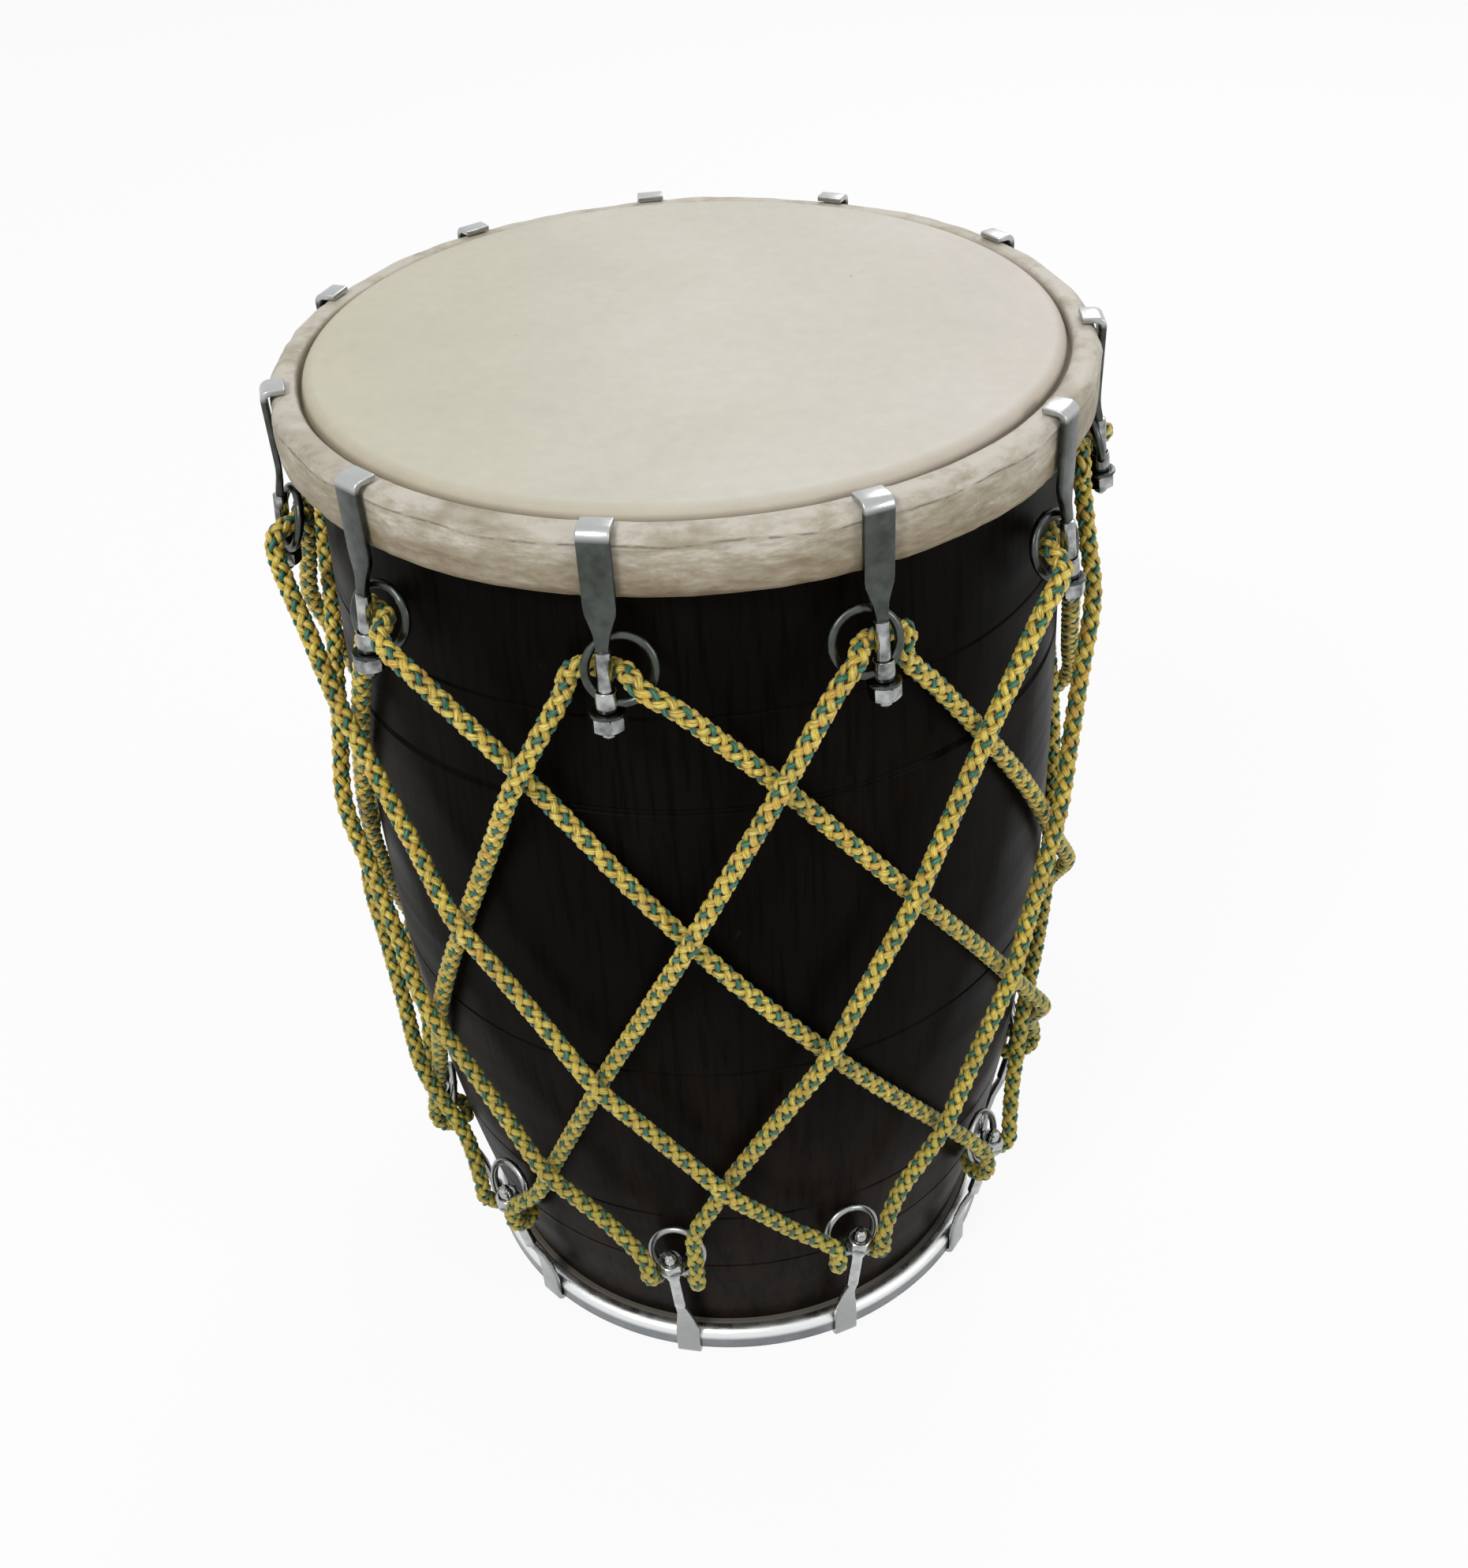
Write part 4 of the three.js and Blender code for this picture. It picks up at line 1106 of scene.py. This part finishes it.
class DholTopHooks(bpy.types.Operator):
    """Bends the upper hooks over the wrapped hoop"""
    bl_idname = "dhol.top_hooks"
    bl_label = "Upper hooks"

    def execute(self, context):
        lip = hoop_top() + GAP + hardware().strap_thickness / 2
        pattern = hook_pattern(
            "top_hook_pattern", -1, top_strap_radius(), lip, hoop_top() - heads().hoop_height,
            top_lug_height() + TOP_NECK, top_rod_axis, top_lug_height() - TOP_TIP)
        smooth(pattern, 40)
        fit_copies(pattern, "top_hook", range(HOOK_COUNT), around(TOP_SHIFTS))
        return {"FINISHED"}


class DholBottomHooks(bpy.types.Operator):
    """Bends the lower hooks under the steel hoop"""
    bl_idname = "dhol.bottom_hooks"
    bl_label = "Lower hooks"

    def execute(self, context):
        pattern = hook_pattern(
            "bottom_hook_pattern", 1, bottom_strap_radius(), hardware().strap_thickness / 2,
            steel_hoop_foot() + STEEL_HOOP_HEIGHT, BOTTOM_LUG_HEIGHT - BOTTOM_NECK, bottom_rod_axis,
            BOTTOM_LUG_HEIGHT + BOTTOM_TIP)
        smooth(pattern, 40)
        fit_copies(pattern, "bottom_hook", range(HOOK_COUNT), around(BOTTOM_SHIFTS))
        return {"FINISHED"}


def bore_radius():
    return hardware().rod / 2 + GAP


def lug_pattern(name):
    """A forged collar with rounded shoulders and a bore for the rod, about the origin."""
    bore, waist, belly = bore_radius(), hardware().lug / 2 * 0.97, hardware().lug / 2 * 1.02
    return turned(name, closed(rounded([
        (bore, -LUG_HALF), (waist, -LUG_HALF), (belly, 0), (waist, LUG_HALF), (bore, LUG_HALF)],
        1.1 * MM, 3)), 32)


def ring_pattern(name, swing, lean):
    """A wire ring that rises from its lug, swung aside and leaned back to the shell."""
    w = hardware()
    start()
    bpy.ops.mesh.primitive_torus_add(major_segments=64, minor_segments=16, major_radius=w.ring_radius,
                                     minor_radius=w.ring_wire / 2)
    wire = named(name + "_wire")
    # The wire's ends are butt welded opposite the lug, with a low bead
    for vertex in wire.data.vertices:
        angle = math.atan2(vertex.co.y, vertex.co.x)
        bead = math.exp(-(angle / 0.07) ** 2) * 0.14
        middle = Vector((math.cos(angle), math.sin(angle), 0)) * w.ring_radius
        vertex.co = middle + (vertex.co - middle) * (1 + bead)
    wire.data.transform(
        Matrix.Rotation(-lean, 4, "X") @ Matrix.Rotation(swing, 4, "Y")
        @ Matrix.Translation((0, 0, w.ring_radius)) @ Matrix.Rotation(math.pi / 2, 4, "X")
        @ Matrix.Rotation(WELD_ANGLE, 4, "Z"))
    # Where the ring meets the rod it is cut away by the lug's bore
    start()
    bpy.ops.mesh.primitive_cylinder_add(vertices=32, radius=bore_radius(), depth=4 * LUG_HALF)
    apply_boolean(wire, bpy.context.object)
    lug = lug_pattern(name + "_lug")
    paint(wire, shared(zinc_plated_steel))
    paint(lug, shared(plate_with_painted_glints))
    return joined([wire, lug])


def nut_pattern(name):
    """A hexagon nut with chamfered corners over its washer, from the origin upwards, bored for the rod."""
    w = hardware()
    bore, rim, flat, corner = bore_radius(), w.washer / 2, w.nut / 2, w.nut / math.sqrt(3)
    low, high = WASHER_THICKNESS, WASHER_THICKNESS + NUT_HEIGHT
    washer = turned(name + "_washer", closed(rounded(
        [(bore, 0), (rim, 0), (rim, low), (bore, low)], 0.3 * MM, 3)), 40)
    start()
    bpy.ops.mesh.primitive_cylinder_add(vertices=6, radius=corner, depth=high - low,
                                        location=(0, 0, (low + high) / 2))
    nut = named(name)
    settle(nut)
    cone = turned(name + "_cone", [
        (NEAR_AXIS, low - MM), (flat * 0.5, low - MM), (flat * 0.5, low), (flat * 0.97, low),
        (corner * 1.02, low + 0.55 * MM), (corner * 1.02, high - 0.75 * MM), (flat * 0.95, high),
        (NEAR_AXIS, high)], 48)
    apply_boolean(nut, cone, "INTERSECT")
    mouth = bore + 0.6 * MM
    drill = turned(name + "_drill", [
        (NEAR_AXIS, -MM), (bore, -MM), (bore, high - 0.5 * MM), (mouth, high + 0.1 * MM),
        (mouth, high + MM), (NEAR_AXIS, high + MM)], 32)
    apply_boolean(nut, drill)
    apply_bevel(nut, 0.18 * MM, 2, 28)
    paint(nut, shared(plate_with_painted_glints))
    paint(washer, shared(zinc_plated_steel))
    return joined([nut, washer])


def hooks_with(sides, side):
    return [k for k in range(HOOK_COUNT) if sides[k] == side]


class DholTopRings(bpy.types.Operator):
    """Forges the upper rings with their lugs"""
    bl_idname = "dhol.top_rings"
    bl_label = "Upper rings"

    def execute(self, context):
        for side in (1, -1):
            pattern = ring_pattern("top_ring_pattern", side * TOP_RING_SWING, TOP_RING_LEAN)
            smooth(pattern, 45)
            turn = Matrix.Rotation(side * TOP_RING_TURN, 4, "Z")
            fit_copies(pattern, "top_ring", hooks_with(TOP_FRONTS, side),
                       lambda k: top_rod_frame(k) @ turn)
        return {"FINISHED"}


class DholTuningNuts(bpy.types.Operator):
    """Cuts the tuning nuts and their washers"""
    bl_idname = "dhol.tuning_nuts"
    bl_label = "Tuning nuts"

    def execute(self, context):
        pattern = nut_pattern("tuning_nut_pattern")
        smooth(pattern, 30)
        below = Matrix.Rotation(math.pi, 4, "X") @ Matrix.Translation((0, 0, LUG_HALF + GAP))
        fit_copies(pattern, "tuning_nut", range(HOOK_COUNT),
                   lambda k: top_rod_frame(k) @ below @ Matrix.Rotation(NUT_TURN * k, 4, "Z"))
        return {"FINISHED"}


class DholBottomRings(bpy.types.Operator):
    """Forges the lower rings with their lugs and seized nuts"""
    bl_idname = "dhol.bottom_rings"
    bl_label = "Lower rings"

    def execute(self, context):
        for side in (1, -1):
            ring = ring_pattern("bottom_ring_pattern", side * BOTTOM_RING_SWING, BOTTOM_RING_LEAN)
            nut = nut_pattern("bottom_nut_pattern")
            nut.data.transform(Matrix.Translation((0, 0, LUG_HALF)))
            pattern = joined([ring, nut])
            smooth(pattern, 35)
            fit_copies(pattern, "bottom_ring", hooks_with(BOTTOM_SWINGS, side), bottom_rod_frame)
        return {"FINISHED"}


# The rope's route, as hook, ring and crossing put it

DOWN_RIGHT, DOWN_LEFT = 3, 2
STRIDE = DOWN_RIGHT + DOWN_LEFT
# Legs reach from above the upper lugs to below the lower ones, and are kept between two shares of that
LEG_TOP, LEG_BOTTOM = 28.3 * MM, 5 * MM
LEG_ENDS = (0.078, 0.9)
ROPE_GAP = 0.8 * MM
LEG_RISE = 87 * MM
STIFFNESS = 3 * MM
FRONT, BACK = 0.6, -1
# Where the rope passes a ring: across the rod, over the lug and in front of the rod's axis, as shares of
# the rope's diameter. At an upper ring the last two are for the leg in front of the ring and the other.
BEHIND = -0.888
TOP_PASS = ((-1.95, 0.5, FRONT, BACK), (-1.42, 0.85, 0.45, BACK), (-0.95, 1.02, -0.25, BACK),
            (-0.5, 1.02, -0.8, -0.92), (0, 0.98, BEHIND, BEHIND), (0.5, 1.02, -0.8, -0.92),
            (0.95, 1.08, -0.25, BACK), (1.38, 0.98, 0.4, BACK), (1.85, 0.7, FRONT, BACK))
BOTTOM_SIDE, BOTTOM_SIDE_UP, BOTTOM_SWING = 0.5, 1.45, 0.2
BOTTOM_PASS = ((-1.45, BOTTOM_SIDE_UP, BOTTOM_SIDE), (-1.4, 0.15, 0.76), (-1.18, -0.66, 0.18),
               (-0.62, -1.06, -0.84), (0, -1.12, BEHIND), (0.62, -1.06, -0.84), (1.18, -0.66, 0.18),
               (1.4, 0.15, 0.76), (1.42, BOTTOM_SIDE_UP, BOTTOM_SIDE))


def lie():
    """How far the rope's middle is from the wood that it lies on."""
    return rope().diameter / 2 + GAP + ROPE_CLEARANCE


def leg_height(t):
    top, bottom = top_lug_height() + LEG_TOP, BOTTOM_LUG_HEIGHT - LEG_BOTTOM
    return top + (bottom - top) * t


def make_legs():
    """Legs in the order in which the rope was laced: k, pitches to the lower ring, layer and crossings."""
    legs = []
    first = 6 + 5 * HOOK_COUNT
    for layer in range(2 * HOOK_COUNT):
        pitches = DOWN_RIGHT if layer % 2 else -DOWN_LEFT
        k = first - (layer + 1) // 2 * STRIDE
        above, below = (LEFT_LEGS if pitches < 0 else RIGHT_LEGS)[k % HOOK_COUNT]
        legs.append({"k": k, "pitches": pitches, "layer": layer, "crossings": [],
                     "start": hook_angle(k, TOP_SHIFTS) + above * PITCH,
                     "end": hook_angle(k + pitches, BOTTOM_SHIFTS) + below * PITCH})
    for a in legs[1::2]:
        for b in legs[::2]:
            apart = (b["k"] - a["k"]) % HOOK_COUNT
            if 0 < apart < STRIDE:
                turns = round((b["k"] - a["k"] - apart) / HOOK_COUNT)
                gap = b["start"] - a["start"] - turns * 2 * math.pi
                t = gap / ((a["end"] - a["start"]) - (b["end"] - b["start"]))
                a["crossings"].append((t, b))
                b["crossings"].append((t, a))
    return legs


def stand_off(leg, z):
    """How far a leg's middle stands off the shell before it rises over any other leg."""
    side = 1 if leg["pitches"] > 0 else -1
    forward = FRONT if side == TOP_FRONTS[leg["k"] % HOOK_COUNT] else BACK
    diameter = rope().diameter
    top_rise = top_lug_radius() + forward * diameter - shell_radius(top_lug_height()) - lie()
    passing = BOTTOM_LUG_HEIGHT + BOTTOM_SIDE_UP * diameter
    bottom_rise = bottom_rod_axis(passing) + BOTTOM_SIDE * diameter - shell_radius(passing) - lie()
    up = max(0.0, (z - top_lug_height() + LEG_RISE) / LEG_RISE)
    tangent = BOTTOM_LUG_HEIGHT + LEG_RISE
    down = max(0.0, (tangent - z) / (tangent - passing))
    return lie() + top_rise * up * up + bottom_rise * down * down


def leg_points(leg):
    """A leg is straight from crossing to crossing, but nowhere nearer to the shell than it can lie."""
    crossings = sorted(leg["crossings"], key=lambda crossing: crossing[0])
    corners = []
    for t, other in [(LEG_ENDS[0], None), *crossings, (LEG_ENDS[1], None)]:
        z = leg_height(t)
        off = stand_off(leg, z)
        if other and leg["layer"] > other["layer"]:
            off = max(off, stand_off(other, z) + rope().diameter + ROPE_GAP)
        angle = leg["start"] + (leg["end"] - leg["start"]) * t
        corners.append(round_point(angle, shell_radius(z) + off, z))
    points = [corners[0]]
    for i in range(len(corners) - 1):
        count = 2 if i in (0, len(corners) - 2) else 3
        for step in range(1, count + 1):
            point = corners[i].lerp(corners[i + 1], step / count)
            out = max(1.0, (shell_radius(point.z) + lie()) / point.xy.length)
            points.append(Vector((point.x * out, point.y * out, point.z)))
    return points


def pass_point(angle, axis, lug_z, across, up, forward):
    diameter = rope().diameter
    z = lug_z + up * diameter
    radius = axis(z) + forward * diameter
    return round_point(angle + across * diameter / radius, radius, z)


def top_pass(k):
    angle, front = hook_angle(k, TOP_SHIFTS), TOP_FRONTS[k % HOOK_COUNT]
    return [pass_point(angle, top_rod_axis, top_lug_height(), across, up,
                       in_front if across * front > 0 else behind)
            for across, up, in_front, behind in TOP_PASS]


def bottom_pass(k):
    angle, swing = hook_angle(k, BOTTOM_SHIFTS), BOTTOM_SWINGS[k % HOOK_COUNT] * BOTTOM_SWING
    return [pass_point(angle, bottom_rod_axis, BOTTOM_LUG_HEIGHT,
                       across + (swing if abs(across) > 1 else 0), up, forward)
            for across, up, forward in BOTTOM_PASS]


def rope_points():
    """One rope goes all the way round, and its two ends meet behind a rod at the back."""
    points = []
    legs = make_legs()
    for leg in legs:
        run = leg_points(leg)
        if leg["pitches"] < 0:
            points += top_pass(leg["k"])[::-1] + run
        else:
            points += bottom_pass(leg["k"] + leg["pitches"])[::-1] + run[::-1]
    first = top_pass(legs[0]["k"])[::-1]
    middle = (len(first) - 1) // 2
    points = points[middle:] + first[:middle]
    last = points[-1]
    points.append(points[0].lerp(last, ROPE_GAP / (points[0] - last).length))
    return np.array([tuple(p) for p in points])


def lengths(vectors):
    return np.linalg.norm(vectors, axis=-1)[..., None]


def between(p, q, t, first, last):
    """The straight line that is at p when t is first and at q when t is last."""
    return ((last - t) * p + (t - first) * q) / (last - first)


def fair_route(points, spacing):
    """A smooth curve through the points, as evenly spaced samples."""
    padded = np.vstack([2 * points[0] - points[1], points, 2 * points[-1] - points[-2]])
    samples = []
    for i in range(1, len(padded) - 2):
        p0, p1, p2, p3 = padded[i - 1:i + 3]
        t1 = np.linalg.norm(p1 - p0) ** 0.5
        t2 = t1 + np.linalg.norm(p2 - p1) ** 0.5
        t3 = t2 + np.linalg.norm(p3 - p2) ** 0.5
        t = np.linspace(t1, t2, 24, endpoint=False)[:, None]
        before = between(p0, p1, t, 0, t1)
        here = between(p1, p2, t, t1, t2)
        after = between(p2, p3, t, t2, t3)
        samples.append(between(between(before, here, t, 0, t2), between(here, after, t, t1, t3), t, t1, t2))
    curve = np.vstack(samples + [points[-1:]])
    for _ in range(2):
        travelled = np.concatenate([[0], np.cumsum(lengths(np.diff(curve, axis=0)))])
        count = int(round(travelled[-1] / spacing)) + 1
        even = np.linspace(0, travelled[-1], count)
        curve = np.stack([np.interp(even, travelled, curve[:, i]) for i in range(3)], axis=1)
        # A stiff rope rounds its kinks: a short running average
        reach = max(1, int(round(STIFFNESS / spacing)))
        weights = np.hanning(2 * reach + 3)[1:-1]
        weights /= weights.sum()
        inner = np.stack([np.convolve(curve[:, i], weights, mode="valid") for i in range(3)], axis=1)
        curve = np.vstack([curve[:reach], inner, curve[-reach:]])
    return curve


def carried_frames(curve):
    """Two axes across a route at each of its samples, carried along it without twist."""
    tangents = np.gradient(curve, axis=0)
    tangents /= lengths(tangents)
    side = np.cross(tangents[0], (0, 0, 1.0))
    sides = np.empty_like(curve)
    for i, tangent in enumerate(tangents):
        side = side - tangent * side.dot(tangent)
        side /= np.linalg.norm(side)
        sides[i] = side
    return sides, np.cross(tangents, sides)


def strand_mesh(name, route, way, start_angle, half_width, half_thick, ring_radius, weave, points):
    """One strand of the braid: a flattened tube that winds round the rope, over one and under the next."""
    curve, sides, ups = route
    spacing = np.linalg.norm(curve[1] - curve[0])
    turns = 2 * math.pi * np.arange(len(curve)) * spacing / rope().lay
    angle = (way * turns + start_angle)[:, None]
    out = sides * np.cos(angle) + ups * np.sin(angle)
    weaving = way * np.cos(turns * rope().strands)[:, None]
    middle = curve + out * (ring_radius + weave * weaving)
    ahead = np.gradient(middle, axis=0)
    ahead /= lengths(ahead)
    normal = out - ahead * np.sum(out * ahead, axis=1)[:, None]
    normal /= lengths(normal)
    # A strand swells where it lies on top and is squeezed where it dives
    across = np.cross(ahead, normal) * half_width * (1 + 0.12 * weaving)
    turn = (np.arange(points) * 2 * math.pi / points)[:, None]
    rings = (middle[:, None] + across[:, None] * np.cos(turn) + normal[:, None] * half_thick * np.sin(turn))
    vertices = rings.reshape(-1, 3)
    # A face joins vertices i and i + 1 of one ring to those of the next
    rows = np.arange(len(curve) - 1)[:, None]
    j = np.arange(points)[None, :]
    corners = ((0, 0), (0, 1), (1, 1), (1, 0))
    faces = np.stack([(rows + a) * points + (j + b) % points for a, b in corners], axis=-1).reshape(-1, 4)
    mesh = bpy.data.meshes.new(name)
    mesh.vertices.add(len(vertices))
    mesh.vertices.foreach_set("co", vertices.ravel())
    mesh.loops.add(faces.size)
    mesh.loops.foreach_set("vertex_index", faces.ravel())
    mesh.polygons.add(len(faces))
    mesh.polygons.foreach_set("loop_start", np.arange(len(faces)) * 4)
    mesh.update(calc_edges=True)
    # The fibres' map is in metres, round the strand and along the rope
    girth = 2 * math.pi * math.hypot(half_width, half_thick) / math.sqrt(2)
    u = np.stack([(j + b) * girth / points + 0 * rows for a, b in corners], axis=-1)
    v = np.stack([(rows + a) * spacing + 0 * j for a, b in corners], axis=-1)
    layer = mesh.uv_layers.new(name="lay")
    layer.data.foreach_set("uv", np.stack([u, v], axis=-1).astype(np.float32).ravel())
    away = lengths(vertices - np.repeat(curve, points, axis=0)).ravel()
    low, high = ring_radius - weave, ring_radius + weave + half_thick
    outward = np.clip((away - low) / (high - low), 0, 1).astype(np.float32)
    mesh.attributes.new("outward", "FLOAT", "POINT").data.foreach_set("value", outward)
    piece = bpy.data.objects.new(name, mesh)
    bpy.context.scene.collection.objects.link(piece)
    edit(piece, "VERT")
    bpy.ops.mesh.select_all(action="SELECT")
    bpy.ops.mesh.fill_holes(sides=points)
    bpy.ops.mesh.normals_make_consistent(inside=False)
    choose(piece)
    bpy.ops.object.shade_smooth()
    return piece


class DholRope(bpy.types.Operator):
    """Braids the lacing rope and lays it through the rings"""
    bl_idname = "dhol.rope"
    bl_label = "Lacing rope"

    def execute(self, context):
        r = rope()
        curve = fair_route(rope_points(), r.step)
        route = (curve, *carried_frames(curve))
        # Each strand's colours: its own, a dark and a light fibre tone, the light one partly painted
        # highlight, then an orange and an olive
        gold = polypropylene("gold_polypropylene", r.gold, "#6a5a10", "#eedf8c", "#b97c28", "#938a20")
        green = polypropylene("green_polypropylene", r.green, "#0a2c20", "#43987a", "#23583c", "#28573a")
        half_width, tracer_width = 1.46 * MM, 0.66 * 1.46 * MM
        half_thick, weave, core = 0.95 * MM, 0.72 * MM, 1.75 * MM
        ring_radius = r.diameter / 2 - half_thick - weave
        for way, word in ((1, "right"), (-1, "left")):
            for n in range(r.strands):
                tracer = way > 0 and n % 2 == 0
                piece = strand_mesh(f"rope_strand_{word}_{n + 1}", route, way, n * 2 * math.pi / r.strands,
                                    tracer_width if tracer else half_width, half_thick, ring_radius, weave, 8)
                finish(piece, "drum", "rope", green if tracer else gold, "lacing_rope")
        piece = strand_mesh("rope_core", [part[::3] for part in route], 1, 0, core, core, 0, 0, 6)
        finish(piece, "drum", "rope", gold, "lacing_rope")
        return {"FINISHED"}


class DholPanel(bpy.types.Panel):
    """Lists the drum's pieces and sizes"""
    bl_idname = "VIEW3D_PT_dhol"
    bl_label = "Dhol"
    bl_space_type = "VIEW_3D"
    bl_region_type = "UI"
    bl_category = "Dhol"

    def draw(self, context):
        for name in SETTINGS:
            box = self.layout.box()
            box.label(text=name.replace("dhol_", "").title())
            group = getattr(context.scene, name)
            for key in group.__annotations__:
                box.prop(group, key)
        for operator in OPERATORS:
            self.layout.operator(operator.bl_idname)


SETTINGS = {
    "dhol_shell": DholShellSettings,
    "dhol_heads": DholHeadSettings,
    "dhol_hardware": DholHardwareSettings,
    "dhol_rope": DholRopeSettings,
    "dhol_stage": DholStageSettings,
}
OPERATORS = (DholStage, DholRope, DholShell, DholTopHead, DholBottomHead, DholSteelHoop, DholTopHooks,
             DholBottomHooks, DholTopRings, DholTuningNuts, DholBottomRings)


def register():
    for cls in (*SETTINGS.values(), *OPERATORS, DholPanel):
        bpy.utils.register_class(cls)
    for name, cls in SETTINGS.items():
        setattr(bpy.types.Scene, name, PointerProperty(type=cls))


def unregister():
    for name in SETTINGS:
        delattr(bpy.types.Scene, name)
    for cls in reversed((*SETTINGS.values(), *OPERATORS, DholPanel)):
        bpy.utils.unregister_class(cls)


def main():
    register()
    bpy.ops.dhol.stage()
    bpy.ops.dhol.rope()
    bpy.ops.dhol.shell()
    bpy.ops.dhol.top_head()
    bpy.ops.dhol.bottom_head()
    bpy.ops.dhol.steel_hoop()
    bpy.ops.dhol.top_hooks()
    bpy.ops.dhol.bottom_hooks()
    bpy.ops.dhol.top_rings()
    bpy.ops.dhol.tuning_nuts()
    bpy.ops.dhol.bottom_rings()


if __name__ == "__main__":
    main()
